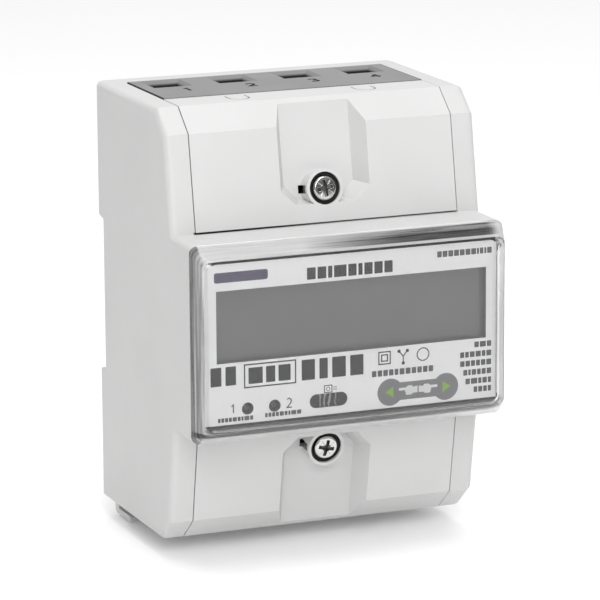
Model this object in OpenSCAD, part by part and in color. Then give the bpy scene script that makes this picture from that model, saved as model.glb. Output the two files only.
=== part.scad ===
// Three-phase energy meter for a 35 mm mounting rail.
// X runs to the right, the front faces -Y and Z is up. The origin is the middle of the flat
// seat that rests on the rail, so everything with a negative y stands in front of the rail.

/* [Body] */
// Width of the meter, four and a half modules
body_w = 76; // [75:0.5:90]
// Height of the meter
body_h = 100.4; // [98:0.1:106]
// How far the skirts reach back past the rail seat
skirt_d = 4.6; // [4.5:0.1:6]
// Wall of the moulded housing
wall = 2; // [1.6:0.1:2.2]
// Radius of the soft edge round each side face
edge_r = 1.8; // [1:0.1:2.2]
// Height of the raised platform behind the window
platform_h = 45.2; // [44:0.1:45.6]
// Distance from the rail seat to the step where the window sits
platform_d = 57; // [56:0.1:58]
// Distance from the rail seat to the foot of the sloping front, beside the platform
toe_d = 45.75; // [44:0.05:47]
// How far the sloping front leans back from its foot to the brow
slope_back = 3.9; // [3:0.05:5]
// Drop of the brow below the top of the meter
brow_drop = 5.35; // [4:0.05:7]
// How far the bevel above it leans back from the brow to the flat top
bevel_back = 6.4; // [5.5:0.05:7.5]
// Thickness of the partitions above and below the electronics
partition = 2; // [1.6:0.1:2.4]
// Thickness of the side frames beside the terminals
frame_w = 5.8; // [5.6:0.1:6.2]

/* [Rail recess] */
// Height of the recess that takes the rail
rail_slot_h = 36.3; // [36:0.1:36.6]
// How far the upper wall of the recess slants open
slot_slant = 1.2; // [0.6:0.1:1.6]
// Radius of the lower mouth of the recess
slot_mouth_r = 2; // [1:0.1:2.5]
// Thickness of the rear plate
rear_t = 2; // [1.6:0.1:2.2]
// Overlap of the fixed hooks behind the rail's upper edge
hook_lap = 1.9; // [1.5:0.1:2.4]
// Room that the hooks and clips leave for the rail's edge
rail_edge_t = 2.1; // [2:0.1:2.2]
// Width of each fixed hook
hook_w = 11; // [8:0.5:14]

/* [Rail clips] */
// Width of each clip's sliding plate
clip_w = 12; // [10:0.5:13]
// Thickness of the sliding plate
clip_t = 2.4; // [2:0.1:2.6]
// Distance from the meter's side to a clip's outer edge
clip_inset = 3; // [2.8:0.1:5]
// Width of the pull tab under the meter
tab_w = 5; // [4:0.5:6]
// How far the pull tab reaches forward
tab_reach = 10.5; // [8:0.5:12]
// Thickness of the pull tab
tab_t = 1.5; // [1.2:0.1:1.8]
// Drop of the tab's underside below the meter
tab_drop = 3.9; // [3.4:0.1:4.6]
// Outer radius of the clip's coil spring
spring_r = 1.8; // [1.5:0.1:1.9]
// Length of the spring when the clip is closed
spring_len = 9.7; // [8.5:0.1:11]

/* [Terminals] */
// Distance from the meter's side to the first terminal chamber
pole_margin = 5.7; // [5.6:0.05:6]
// Front edge of the terminal block, in front of the rail seat
block_front_d = 25.65; // [24:0.05:27]
// Rear edge of the terminal block, in front of the rail seat
block_rear_d = 1.25; // [1:0.05:1.5]
// How far the terminal block stands proud of the meter
block_proud = 0.2; // [0:0.05:0.4]
// Width of the square mouth of a wire entry
entry_w = 9.5; // [9:0.1:10]
// Chamfer round the mouth of a wire entry
entry_chamfer = 1.1; // [0.6:0.1:1.3]
// Distance from the block's rear edge to the mouth of a wire entry
entry_margin = 0.9; // [0.8:0.1:1.2]
// Thickness of the block's roof above the clamps
block_roof = 5.4; // [4:0.1:6]
// Outer width of a cage clamp
cage_w = 10; // [9:0.1:10.6]
// Height of a cage clamp along the wire
cage_h = 8.6; // [7:0.1:10]
// Wall of a cage clamp
cage_t = 1; // [0.8:0.1:1.1]
// Room for the wire inside an open clamp
wire_gap = 7.6; // [7:0.1:7.8]
// Radius of the terminal screw's thread
clamp_screw_r = 2.4; // [2:0.1:2.6]
// Radius of the terminal screw's head
clamp_head_r = 3.4; // [3:0.1:3.6]
// Width of a current bar
bar_w = 7; // [6:0.1:7.2]
// Thickness of a current bar
bar_t = 1.5; // [1.2:0.1:2]

/* [Terminal covers] */
// Wall of a terminal cover
cover_t = 1.8; // [1.4:0.1:2]
// Running gap round a terminal cover
cover_gap = 0.2; // [0.15:0.05:0.3]
// Width of the recess in the middle of a cover
recess_w = 22.9; // [21:0.1:25]
// Depth of that recess below the sloping front
recess_d = 4.4; // [3.6:0.1:4.8]
// How far each wall of the recess slants inwards
recess_slant = 2.9; // [2:0.1:3.2]
// Distance from the platform to the lower edge of the recess
recess_foot = 4.2; // [3.6:0.1:5]
// Size of the cut corners of the recess
recess_corner = 3.5; // [2.5:0.1:4.5]
// Distance from the platform to the middle of the cover screw
boss_rise = 7.9; // [7.4:0.1:8.6]
// Outer radius of the boss round the cover screw
boss_r = 4.45; // [4.35:0.05:4.6]
// Radius of the screw well in the boss
well_r = 3.75; // [3.5:0.05:3.8]
// Radius of the seat under the screw's head, in the middle of the well
seat_r = 2.3; // [2.1:0.05:2.6]
// Depth of the groove round that seat below the sloping front
groove_d = 5.2; // [4.6:0.1:5.4]
// Height by which the boss stays below the sloping front
boss_sink = 0.3; // [0.2:0.1:1]
// Depth of the screw's head below the rim of its boss
head_below = 0.2; // [0:0.1:1]
// Radius of the cover screw's head
cover_head_r = 2.75; // [2.5:0.05:3]
// Radius of the cover screw's shank
cover_shank_r = 1.5; // [1.3:0.05:1.6]
// Length of the cover screw's shank
cover_shank_len = 12; // [10:0.5:13]
// Width of the two windows for a seal wire, in the flanks of the boss
seal_w = 1.9; // [1.6:0.1:2.2]
// Depth of a seal window's upper edge below the sloping front
seal_drop = 1.4; // [1:0.1:1.8]
// Distance from the screw's axis to the outer edge of a seal window
seal_reach = 5; // [4.8:0.05:5.3]
// Distance of the snap tongues in a cover's flat edge from the middle
snap_x = 15.6; // [14:0.1:20]
// Width of a snap tongue
snap_w = 4.4; // [3:0.1:5]
// Width of the slot round a snap tongue
snap_slot = 0.4; // [0.3:0.05:0.6]

/* [Window and display] */
// Height of the window above the step that carries it
window_proud = 5.4; // [5:0.1:6]
// Thickness of the window's front
window_t = 1.6; // [1.4:0.1:1.8]
// Thickness of the window's side walls
window_wall = 1.5; // [1.3:0.1:1.6]
// Height of the upright rim round the window's foot
window_rim = 0.8; // [0.4:0.1:1.2]
// How far each side of the window slants in towards the front
window_side_slant = 1.5; // [1:0.1:1.6]
// How far its upper and lower faces slant in towards the front
window_top_slant = 3.2; // [2.4:0.1:3.4]
// Soft edge of the window's front
window_edge = 0.6; // [0.4:0.1:0.8]
// Height of the nameplate's face above the same step
label_proud = 2.45; // [2:0.05:2.8]
// Thickness of the nameplate
label_t = 0.5; // [0.3:0.05:0.6]
// Distance from the meter's side to the edge of the nameplate
label_inset = 2.2; // [2.2:0.1:3]
// Upper edge of the nameplate above the middle of the rail
label_top = 18.4; // [18:0.1:18.6]
// Lower edge of the nameplate below the middle of the rail
label_bottom = 18.6; // [18:0.1:18.8]
// Distance from the meter's side to the display opening
lcd_margin = 5.15; // [5:0.05:8]
// Lower edge of the display opening below the middle of the rail
lcd_low = 4; // [3.6:0.1:5]
// Upper edge of the display opening above the middle of the rail
lcd_high = 12.5; // [11:0.1:13]
// Radius of the two pulse lamp holes
lamp_hole_r = 1.4; // [1.3:0.05:1.6]
// Distance of the lamps and the port below the middle of the rail
lamp_drop = 14.8; // [14.2:0.1:15.2]
// Distance from the meter's side to the left pulse lamp
lamp_margin = 12.45; // [11:0.05:14]
// Distance between the two pulse lamps
lamp_pitch = 6.5; // [6:0.1:7.5]
// Middle of the optical port
port_x = -6; // [-7:0.1:-5]
// Width of the optical port
port_w = 9.2; // [8:0.1:10]
// Height of the optical port
port_h = 3.2; // [3:0.1:3.6]
// Place of the left touch key
key_x = 9.1; // [8:0.1:10]
// Distance between the two touch keys
key_pitch = 13.7; // [13:0.1:14.4]

/* [Boards] */
// Thickness of the circuit boards
board_t = 1.6; // [1:0.1:1.6]
// Distance from the rail seat to the back of the main board
main_board_d = 26; // [25:0.1:27]
// Depth of the display board's back below the step that carries the window
display_depth = 8; // [7:0.1:9]
// Gap between neighbouring current transformers
ring_space = 0.95; // [0.8:0.05:2]
// Inner radius of a current transformer
ring_bore_r = 4.2; // [3.8:0.1:4.6]
// Height of a current transformer
ring_h = 9; // [7:0.1:11]

/* [Hidden] */
$fn = 48;

// Margin by which a cutting shape runs past the face that it cuts
past = 1;
// Gap between two pieces that are set into one another
fit = 0.1;
// Small gap that keeps two neighbours from sharing a face
seam = 0.2;

half_w = body_w / 2;
half_h = body_h / 2;
half_platform = platform_h / 2;
brow_z = half_h - brow_drop;
brow_d = toe_d - slope_back;
crest_d = brow_d - bevel_back;
front_lean = atan((toe_d - brow_d) / (brow_z - half_platform));
bevel_lean = atan((brow_d - crest_d) / brow_drop);
cavity_w = body_w - 2 * wall;
bay_w = body_w - 2 * frame_w;
label_w = body_w - 2 * label_inset;
window_d = platform_d + window_proud;
label_d = platform_d + label_proud;
display_board_d = platform_d - display_depth;
lcd_w = body_w - 2 * lcd_margin;
cavity_z = half_platform - partition;
rear_room = half_h - wall;
half_slot = rail_slot_h / 2;
pillar_w = 2.4;
pillar_h = 2;

poles = 4;
pitch = (body_w - 2 * pole_margin) / poles;
ring_r = (pitch - ring_space) / 2;
block_w = bay_w - 2 * seam;
block_top = half_h + block_proud;
block_low = half_platform + seam;
entry_d = block_rear_d + entry_margin + entry_w / 2;
throat_w = entry_w - 2 * entry_chamfer;
cage_rear_d = entry_d - wire_gap / 2 - cage_t;
bar_rear_d = cage_rear_d + cage_t + wire_gap;
bar_front_d = bar_rear_d + bar_t;
cage_slack = 2.4;
cage_front_d = bar_front_d + cage_slack + cage_t;
cage_top = block_top - block_roof - fit;
cage_mid = cage_top - cage_h / 2;
bar_slot_gap = 1;
rib_t = 1.4;
rib_reach = 5;
rib_lift = 4;
clamp_head_t = 2.2;
clamp_head_sink = 3;
cross_w = 1;
cross_depth = 1.4;

cover_w = bay_w - 2 * cover_gap;
foot_gap = 0.4;
cover_foot = half_platform + foot_gap;
cheek_rear_gap = 1;
cheek_cut = 2;
cheek_rim = 4;
head_sink = boss_sink + head_below;
head_t = 1.6;
head_cross_w = 0.8;
head_cross_len = 3.6;
head_cross_depth = 1.1;
tower_r = 3.2;
tower_len = toe_d - block_front_d;
snap_len = 2.8;
snap_tip_d = crest_d - 2.4;
thin = 0.01;
arc_steps = 12;

carrier_t = 1.2;
carrier_front_d = label_d - label_t;
board_w = cavity_w - 2;
board_h = 2 * cavity_z - 1.4;
plateau_rim = 0.5;
lcd_t = 2.8;
lcd_rim = 1.5;
guide_rim = 1;
lamp_x = lamp_margin - half_w;
lamp_gap = 0.1;
lamp_flange = 0.4;
lamp_foot_t = 1;
optic_gap = 0.15;
optic_sink = 0.4;
touch_r = 2.6;
touch_wire = 0.5;
key_drop = lamp_drop - 0.3;
tap_rise = 5;
tap_z = ring_h / 2 + tap_rise;
tap_r = 0.8;
chip_t = 1.6;
meter_chip_w = 10;
meter_chip_h = 8;
part_edge = 15;
meter_chip_x = part_edge - board_w / 2;
chip_z = -8;
processor_w = 12;
processor_x = -4;
supply_w = 18;
supply_h = 14;
bobbin_w = 14;
bobbin_h = 8;
supply_x = board_w / 2 - part_edge;
supply_z = 0.5;
can_r = 4.5;
can_pitch = 12;
can_z = -12.5;
header_w = 24;
header_h = 5;
header_drop = 5;
board_front_d = main_board_d + board_t;
supply_gap = 5.4;
bobbin_step = 2;
bobbin_reach = display_board_d - board_front_d - supply_gap;
supply_reach = bobbin_reach - bobbin_step;
can_len = supply_reach;
display_front_d = display_board_d + board_t;
lcd_mid = (lcd_high - lcd_low) / 2;
lcd_h = lcd_high + lcd_low;
bar_mid_d = (bar_rear_d + bar_front_d) / 2;
post_x = board_w / 2 - 3;
post_z = board_h / 2 - 2.6;
post_r = 2.4;
board_screw_r = 1.1;
board_screw_len = 9;
board_head_r = 2;
board_head_t = 1.4;
post_hole_d = 14;
body_screw_r = 1.2;
body_screw_len = 12;
body_head_r = 1.7;
body_head_t = 0.9;
body_screw_x = bay_w / 2 + 1.8;
body_screw_z = rear_room - 3.4;
body_boss_r = 2.6;
tongue_x = 12;
tongue_w = 8;
tongue_t = 1.6;
tongue_reach = 1;
tongue_back = 1.4;
small_cross_w = 0.6;
small_cross_depth = 0.5;

clip_x = half_w - clip_inset - clip_w / 2;
channel_floor = 0.6;
clip_rear = channel_floor + seam + clip_t;
clip_nose = half_slot - hook_lap;
tab_bottom = half_h + tab_drop;
spring_drop = 11.3;
spring_low = clip_nose + spring_drop + spring_len;
spring_mid_y = channel_floor + seam + clip_t / 2;
spring_wire = 0.5;
spring_floor = 0.3;
lug_h = 2;
lug_w = 3.6;
groove_w = 2 * spring_r + 0.6;
clip_slot_len = spring_len + lug_h + 0.15;
mouth_w = clip_w - 2;
hook_lead = 0.6;
hook_tip = 0.8;
hook_bevel = 1.2;
nose_lead = 0.4;
nose_flat = 0.3;
nose_bevel = 1.3;
nose_depth = 1;
tail_len = 1;
tab_lap = 4;

// Gives an outline, drawn as [y, z] points, a width along X.
module along_x(w) {
    rotate([90, 0, 90]) linear_extrude(w, center = true) children();
}

// Stands an outline, drawn as [x, z] points, between two distances in front of the rail seat.
module in_front(d1, d2) {
    translate([0, -d1, 0]) rotate([90, 0, 0]) linear_extrude(d2 - d1) children();
}

// A block between two distances in front of the seat, centred on x.
module bar_block(w, d1, d2, z1, z2) {
    translate([-w / 2, -d2, z1]) cube([w, d2 - d1, z2 - z1]);
}

// A round bar that points straight forward.
module forward_rod(r, d1, d2) {
    translate([0, -d1, 0]) rotate([90, 0, 0]) cylinder(r = r, h = d2 - d1);
}

// Repeats a terminal feature at each pole.
module each_pole(n = poles) {
    for (i = [0 : n - 1]) translate([pole_x(i), 0, 0]) children();
}

// Puts a feature in all four corners.
module four_corners(x, z) {
    for (sx = [-1, 1]) for (sz = [-1, 1]) translate([sx * x, 0, sz * z]) children();
}

// Draws a left-hand feature on both sides.
module both_sides() {
    for (m = [0, 1]) mirror([m, 0, 0]) children();
}

// Local frame of the sloping front: z points out of the face, y climbs it, and the origin is
// the axis of the cover screw.
module on_slope(rise = boss_rise) {
    translate([0, -(toe_d - rise * tan(front_lean)), half_platform + rise])
        rotate([90 - front_lean, 0, 0]) children();
}

// Two crossed slots, cut into a screw head that looks forward between two distances.
module cross_slot(length, w, d1, d2) {
    bar_block(w, d1, d2, -length / 2, length / 2);
    bar_block(length, d1, d2, -w / 2, w / 2);
}

function pole_x(i) = (i - (poles - 1) / 2) * pitch;

// Point where the line through p at angle a meets the line through q at angle b.
function meet(p, a, q, b) =
    let (
        s = ((q[0] - p[0]) * sin(b) - (q[1] - p[1]) * cos(b)) / sin(b - a)
    ) [p[0] + s * cos(a), p[1] + s * sin(a)];

// Points of an arc round [u, v], turning from angle a to angle b.
function arc(u, v, r, a, b) =
    [for (i = [0 : arc_steps]) let (t = a + (b - a) * i / arc_steps) [u + r * cos(t), v + r * sin(t)]];

// Outline of the body seen from the side, without the platform.
function body_outline() = [
    [skirt_d, -half_h], [skirt_d, half_h], [-crest_d, half_h], [-brow_d, brow_z],
    [-toe_d, half_platform], [-toe_d, -half_platform], [-brow_d, -brow_z], [-crest_d, -half_h]
];

// Rectangle of half-width a and half-height b whose corners are rounded in three flats.
function soft_frame(a, b, r) = [
    for (q = [0 : 3]) for (turn = [0 : 30 : 90]) [
        (q == 0 || q == 3 ? 1 : -1) * (a - r) + r * cos(90 * q + turn),
        (q < 2 ? 1 : -1) * (b - r) + r * sin(90 * q + turn)
    ]
];

// A slab of the given outline whose rim is rounded in small flats towards both side faces.
module soft_slab(points) {
    hull() for (turn = [0 : 30 : 90])
        along_x(body_w - 2 * edge_r * (1 - cos(turn)))
            offset(delta = -edge_r * (1 - sin(turn))) polygon(points);
}

// Cross-section of the recess for the rail, open to the rear.
module rail_recess() {
    mouth = [for (a = [0 : 15 : 90])
        [skirt_d - slot_mouth_r * (1 - sin(a)), -half_slot - slot_mouth_r * (1 - cos(a))]];
    polygon(concat(
        [[0, -half_slot], [0, half_slot], [skirt_d + past, half_slot + slot_slant]],
        [[skirt_d + past, -half_slot - slot_mouth_r]],
        [for (i = [len(mouth) - 1 : -1 : 0]) mouth[i]]
    ));
}

// One moulded shell: side frames, platform and partitions, open to the rear and the terminals.
module main_housing() {
    color([0.9, 0.9, 0.9]) difference() {
        union() {
            soft_slab(body_outline());
            intersection() {
                soft_slab([
                    [-brow_d + edge_r, -half_platform], [-brow_d + edge_r, half_platform],
                    [-platform_d - edge_r, half_platform], [-platform_d - edge_r, -half_platform]
                ]);
                bar_block(body_w, 0, platform_d, -half_platform, half_platform);
            }
        }
        along_x(body_w + 2 * past) rail_recess();
        bar_block(cavity_w, -skirt_d - past, platform_d + past, -cavity_z, cavity_z);
        bar_block(cavity_w, -skirt_d - past, -seam, -rear_room, rear_room);
        for (m = [0, 1]) mirror([0, 0, m]) {
            bar_block(bay_w, block_rear_d - seam, toe_d + past, half_platform, half_h + past);
            side_hollows(m == 0);
        }
        each_pole() bar_block(bar_w + 2 * bar_slot_gap, bar_rear_d - bar_slot_gap,
            bar_front_d + bar_slot_gap, -block_low, block_low);
        body_screw_places()
            forward_rod(body_screw_r - seam, -skirt_d - past, body_screw_len + wall);
        tongues(fit, rear_room);
        both_sides() clip_channel();
    }
    color([0.9, 0.9, 0.9]) four_corners((cavity_w - pillar_w) / 2, cavity_z - pillar_h / 2)
        bar_block(pillar_w, board_front_d + seam, display_board_d - seam,
            -pillar_h / 2, pillar_h / 2);
}

// Where the two housing screws sit, in the upper corners.
module body_screw_places() {
    both_sides() translate([-body_screw_x, 0, body_screw_z]) children();
}

// Two tongues that hook the foot of the rear plate into the housing, or their notches.
module tongues(grow, root) {
    both_sides() translate([-tongue_x, 0, 0])
        bar_block(tongue_w + 2 * grow, -tongue_back - tongue_t - grow, -tongue_back + grow,
            -root - tongue_reach, -root + past);
}

// The side frames are hollow from the rear, apart from the bosses for the upper screws.
module side_hollows(with_boss) {
    inner = bay_w / 2 + wall;
    outer = half_w - wall;
    both_sides() difference() {
        translate([-(inner + outer) / 2, 0, 0])
            bar_block(outer - inner, rear_t - skirt_d, crest_d - edge_r,
                half_platform + wall, rear_room);
        if (with_boss) translate([-body_screw_x, 0, body_screw_z])
            forward_rod(body_boss_r, seam, body_screw_len + 2 * wall);
    }
}

// Flat rear plate, stepped round the rail, with fixed hooks above and clip channels below.
module rear_plate() {
    plate_z = rear_room - fit;
    step_z = cavity_z - fit;
    step_y = seam + fit;
    color([0.86, 0.86, 0.86]) difference() {
        union() {
            along_x(cavity_w - 2 * fit) difference() {
                polygon([
                    [-rear_t, -step_z], [-rear_t, step_z], [step_y, step_z], [step_y, plate_z],
                    [skirt_d, plate_z], [skirt_d, -plate_z], [step_y, -plate_z],
                    [step_y, -step_z]
                ]);
                rail_recess();
                polygon([
                    [-past, cavity_z + wall], [skirt_d - rear_t, cavity_z + wall],
                    [skirt_d - rear_t, plate_z - wall], [-past, plate_z - wall]
                ]);
            }
            for (sx = [-1, 1]) translate([sx * clip_x, 0, 0]) rail_hook();
            four_corners(post_x, post_z) forward_rod(post_r, rear_t / 2, main_board_d - fit);
            tongues(0, plate_z);
        }
        four_corners(post_x, post_z)
            forward_rod(board_screw_r + fit / 2, post_hole_d, main_board_d);
        both_sides() clip_channel();
        body_screw_places() {
            forward_rod(body_screw_r + seam, -skirt_d - past, past);
            forward_rod(body_head_r + fit, -skirt_d - past, -skirt_d + body_head_t + seam);
        }
    }
}

// Fixed hook that reaches behind the rail's upper edge, with a lead-in slope.
module rail_hook() {
    lip = half_slot - hook_lap;
    along_x(hook_w) polygon([
        [rail_edge_t, half_slot + slot_slant], [rail_edge_t, lip + hook_lead],
        [rail_edge_t + hook_lead, lip], [skirt_d - hook_tip, lip],
        [skirt_d, lip + hook_bevel], [skirt_d, half_slot + slot_slant + past]
    ]);
}

// Channel of the left clip: a wide slot for the plate, a narrower mouth and a spring groove.
module clip_channel() {
    gap = seam / 2;
    low = -half_h - past;
    high = -half_slot + past;
    translate([-clip_x, 0, 0]) difference() {
        union() {
            bar_block(clip_w + 2 * gap, -clip_rear - gap, -channel_floor, low, high);
            bar_block(mouth_w, -skirt_d - past, -channel_floor, low, high);
            bar_block(groove_w, -channel_floor - past, spring_floor,
                -spring_low, -spring_low + spring_len + past);
        }
        bar_block(lug_w, -clip_rear - gap, 0, -spring_low - lug_h, -spring_low);
    }
}

// Sliding clip on the left: plate, nose that holds the rail's lower edge, and pull tab.
module left_rail_clip() {
    front = channel_floor + seam;
    slot_top = -spring_low + spring_len;
    color([0.87, 0.87, 0.87]) translate([-clip_x, 0, 0]) difference() {
        union() {
            along_x(clip_w) polygon([
                [rail_edge_t, -half_slot - nose_depth], [rail_edge_t, -clip_nose - nose_lead],
                [rail_edge_t + nose_lead, -clip_nose],
                [rail_edge_t + nose_lead + nose_flat, -clip_nose],
                [clip_rear, -clip_nose - nose_bevel], [clip_rear, -half_h - tail_len],
                [front, -half_h - tail_len], [front, -half_slot - nose_depth]
            ]);
            translate([-(clip_w - tab_w) / 2, 0, 0]) pull_tab(front);
        }
        bar_block(lug_w + 1, -clip_rear - past, past, slot_top - clip_slot_len, slot_top);
        bar_block(groove_w, -clip_rear - past, past, slot_top - spring_len, slot_top);
    }
}

// The tab drops below the meter and turns forward under it, with round ends.
module pull_tab(front) {
    tip_r = tab_t / 2;
    tip_y = clip_rear - tab_reach + tip_r;
    along_x(tab_w) polygon(concat(
        [[front, -half_h + tab_lap], [clip_rear, -half_h + tab_lap]],
        [[clip_rear, -tab_bottom + tip_r], [clip_rear - tip_r, -tab_bottom]],
        arc(tip_y, -tab_bottom + tip_r, tip_r, -90, -270),
        [[front, -tab_bottom + tab_t]]
    ));
}

// Mirror image of the left clip.
module right_rail_clip() {
    mirror([1, 0, 0]) left_rail_clip();
}

// Coil spring of the left clip, as the sleeve that its wire fills.
module left_clip_spring() {
    color([0.75, 0.75, 0.77]) translate([-clip_x, spring_mid_y, -spring_low + fit]) difference() {
        cylinder(r = spring_r, h = spring_len - 2 * fit);
        translate([0, 0, -past]) cylinder(r = spring_r - spring_wire, h = spring_len + 2 * past);
    }
}

// Mirror image of the left spring.
module right_clip_spring() {
    mirror([1, 0, 0]) left_clip_spring();
}

// Grey block of four chambers, each with a chamfered wire entry and a well for its screw.
module upper_terminal_block() {
    color([0.66, 0.66, 0.66]) difference() {
        union() {
            bar_block(block_w, block_rear_d, block_front_d, block_low, block_top);
            for (i = [1 : poles - 1]) translate([pole_x(i) - pitch / 2, 0, 0])
                bar_block(rib_t, block_front_d - past, block_front_d + rib_reach,
                    block_low + rib_lift, cage_top);
            screw_tower();
        }
        each_pole() {
            bar_block(cage_w + 2 * seam, cage_rear_d - seam, cage_front_d + seam,
                block_low - past, cage_top + fit);
            wire_entry();
            translate([0, 0, cage_mid])
                forward_rod(clamp_head_r + seam, cage_front_d, block_front_d + past);
        }
        on_slope() translate([0, 0, -head_sink - head_t - cover_shank_len])
            cylinder(r = cover_shank_r + fit, h = cover_shank_len + past);
    }
}

// Leaning tower in the middle of the block that the cover screw turns into.
module screw_tower() {
    intersection() {
        on_slope() translate([0, 0, -recess_d - cover_t - seam - tower_len])
            cylinder(r = tower_r, h = tower_len);
        bar_block(3 * tower_r, block_front_d - past, toe_d, block_low, block_top);
    }
}

// Square wire entry through the roof of the block, with a chamfered mouth.
module wire_entry() {
    m = entry_w / 2;
    t = throat_w / 2;
    c = entry_chamfer;
    profile = [
        [-m - past, block_top + past], [-t, block_top - c], [-t, cage_top - past],
        [t, cage_top - past], [t, block_top - c], [m + past, block_top + past]
    ];
    translate([0, -entry_d, 0]) intersection() {
        along_x(entry_w + 2 * past) polygon(profile);
        rotate([90, 0, 0]) linear_extrude(entry_w + 2 * past, center = true) polygon(profile);
    }
}

// The lower block is the upper one turned upside down.
module lower_terminal_block() {
    mirror([0, 0, 1]) upper_terminal_block();
}

// Steel cage that pulls the wire against the current bar.
module cage_clamp() {
    color([0.78, 0.78, 0.8]) difference() {
        bar_block(cage_w, cage_rear_d, cage_front_d, cage_top - cage_h, cage_top);
        bar_block(cage_w - 2 * cage_t, cage_rear_d + cage_t, cage_front_d - cage_t,
            cage_top - cage_h - past, cage_top + past);
        translate([0, 0, cage_mid])
            forward_rod(clamp_screw_r + fit / 2, cage_front_d - cage_t - past, cage_front_d + past);
    }
}

// Cross-headed terminal screws of one side.
module upper_terminal_screws() {
    head_d = block_front_d - clamp_head_sink;
    color([0.8, 0.8, 0.82]) each_pole() translate([0, 0, cage_mid]) difference() {
        union() {
            forward_rod(clamp_screw_r, bar_front_d + fit, head_d);
            forward_rod(clamp_head_r, head_d - clamp_head_t, head_d);
        }
        cross_slot(2 * clamp_screw_r, cross_w, head_d - cross_depth, head_d + past);
    }
}

// The same screws in the lower block.
module lower_terminal_screws() {
    mirror([0, 0, 1]) upper_terminal_screws();
}

// Copper bar that runs from the upper clamp to the lower one.
module current_bar(i) {
    end = cage_top - fit;
    color([0.8, 0.52, 0.3]) translate([pole_x(i), 0, 0])
        bar_block(bar_w, bar_rear_d, bar_front_d, -end, end);
}

// Ring that measures the current in the bar through it.
module current_transformer(i) {
    color([0.2, 0.3, 0.55]) translate([pole_x(i), -bar_mid_d, 0]) difference() {
        cylinder(r = ring_r, h = ring_h, center = true);
        cylinder(r = ring_bore_r, h = ring_h + 2 * past, center = true);
    }
}

// Foot, brow and crest of a terminal cover in side view, set in by the given thickness.
function cover_outline(t) =
    let (
        slope_in = [-toe_d + t / cos(front_lean), half_platform],
        bevel_in = [-brow_d + t * cos(bevel_lean), brow_z - t * sin(bevel_lean)],
        flat_in = [0, half_h - t],
        climb = 90 - bevel_lean,
        front = 90 - front_lean,
        low = meet(slope_in, front, [0, cover_foot], 0),
        knee = meet(slope_in, front, bevel_in, climb),
        top = meet(bevel_in, climb, flat_in, 0)
    ) [low, knee, top];

// Snap-in cover over the terminals, with a sunken middle, a screw boss and a seal window.
module upper_terminal_cover() {
    color([0.91, 0.91, 0.91]) difference() {
        union() {
            difference() {
                union() {
                    cover_shell();
                    cover_cheeks();
                    intersection() {
                        recess_form(recess_d + cover_t, cover_t);
                        cover_envelope(cover_w - 2 * cover_t);
                    }
                }
                recess_form(recess_d, 0);
            }
            on_slope() translate([0, 0, -recess_d - cover_t / 2]) rotate([0, 0, 90])
                cylinder(r = boss_r, h = recess_d + cover_t / 2 - boss_sink);
        }
        on_slope() {
            rotate([0, 0, 90]) rotate_extrude() screw_well();
            both_sides() seal_window();
        }
        both_sides() snap_slots();
    }
}

// Half section of the screw well: a groove round the head's seat, and the hole for the shank.
module screw_well() {
    seat_z = -head_sink - head_t - fit;
    hole_r = cover_shank_r + seam;
    low = -recess_d - cover_t - past;
    polygon([
        [0, past], [well_r, past], [well_r, -groove_d], [seat_r, -groove_d], [seat_r, seat_z],
        [hole_r, seat_z], [hole_r, low], [0, low]
    ]);
}

// Window for a seal wire through one flank of the boss, open down through the cover's floor.
module seal_window() {
    inner = (seat_r + well_r) / 2;
    low = recess_d + cover_t + past;
    translate([-seal_reach, -seal_w / 2, -low]) cube([seal_reach - inner, seal_w, low - seal_drop]);
}

// Everything between the cover's outer faces and the terminal block.
module cover_envelope(w) {
    o = cover_outline(0);
    rear = -block_front_d - cover_gap;
    along_x(w) polygon([[rear, cover_foot], o[0], o[1], o[2], [rear, half_h]]);
}

// The thin wall of the cover: foot, sloping front, bevel and flat top.
module cover_shell() {
    o = cover_outline(0);
    i = cover_outline(cover_t);
    rear = -block_front_d - cover_gap;
    along_x(cover_w)
        polygon([o[0], o[1], o[2], [rear, half_h], [rear, half_h - cover_t], i[2], i[1], i[0]]);
}

// Side cheeks that stiffen the cover and slide along the side frames.
module cover_cheeks() {
    both_sides() translate([-(cover_w - cover_t) / 2, 0, 0]) difference() {
        cover_envelope(cover_t);
        bar_block(cover_t + past, block_front_d - cheek_rear_gap, crest_d - cheek_cut,
            0, half_h - cheek_rim);
    }
}

// U-shaped slot through the flat edge of a cover, which leaves a springy snap tongue.
module snap_slots() {
    translate([-snap_x, snap_w / 2 + snap_slot - snap_tip_d, half_h - cover_t - past])
        linear_extrude(cover_t + 2 * past) difference() {
            snap_plan(snap_w / 2 + snap_slot);
            snap_plan(snap_w / 2);
        }
}

// Plan of a snap tongue: a half circle in front and straight sides behind.
module snap_plan(r) {
    polygon(concat(arc(0, 0, r, 180, 360), [[r, snap_len], [-r, snap_len]]));
}

// Sunken middle of a cover: a straight-sided form whose walls slant towards its floor.
module recess_form(depth, grow) {
    foot = recess_foot - boss_rise;
    climb = half_h - half_platform;
    hull() {
        on_slope() translate([0, 0, past])
            linear_extrude(thin) recess_shape(recess_w / 2 + grow, foot - grow, climb);
        on_slope() translate([0, 0, -depth])
            linear_extrude(thin) recess_shape(recess_w / 2 + grow - recess_slant,
                foot - grow + recess_slant / 2, climb);
    }
}

// Plan of the recess, with its two lower corners cut off.
module recess_shape(half, foot, top) {
    polygon([
        [-half, top], [-half, foot + recess_corner], [-half + recess_corner, foot],
        [half - recess_corner, foot], [half, foot + recess_corner], [half, top]
    ]);
}

// The lower cover is the upper one turned upside down.
module lower_terminal_cover() {
    mirror([0, 0, 1]) upper_terminal_cover();
}

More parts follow.
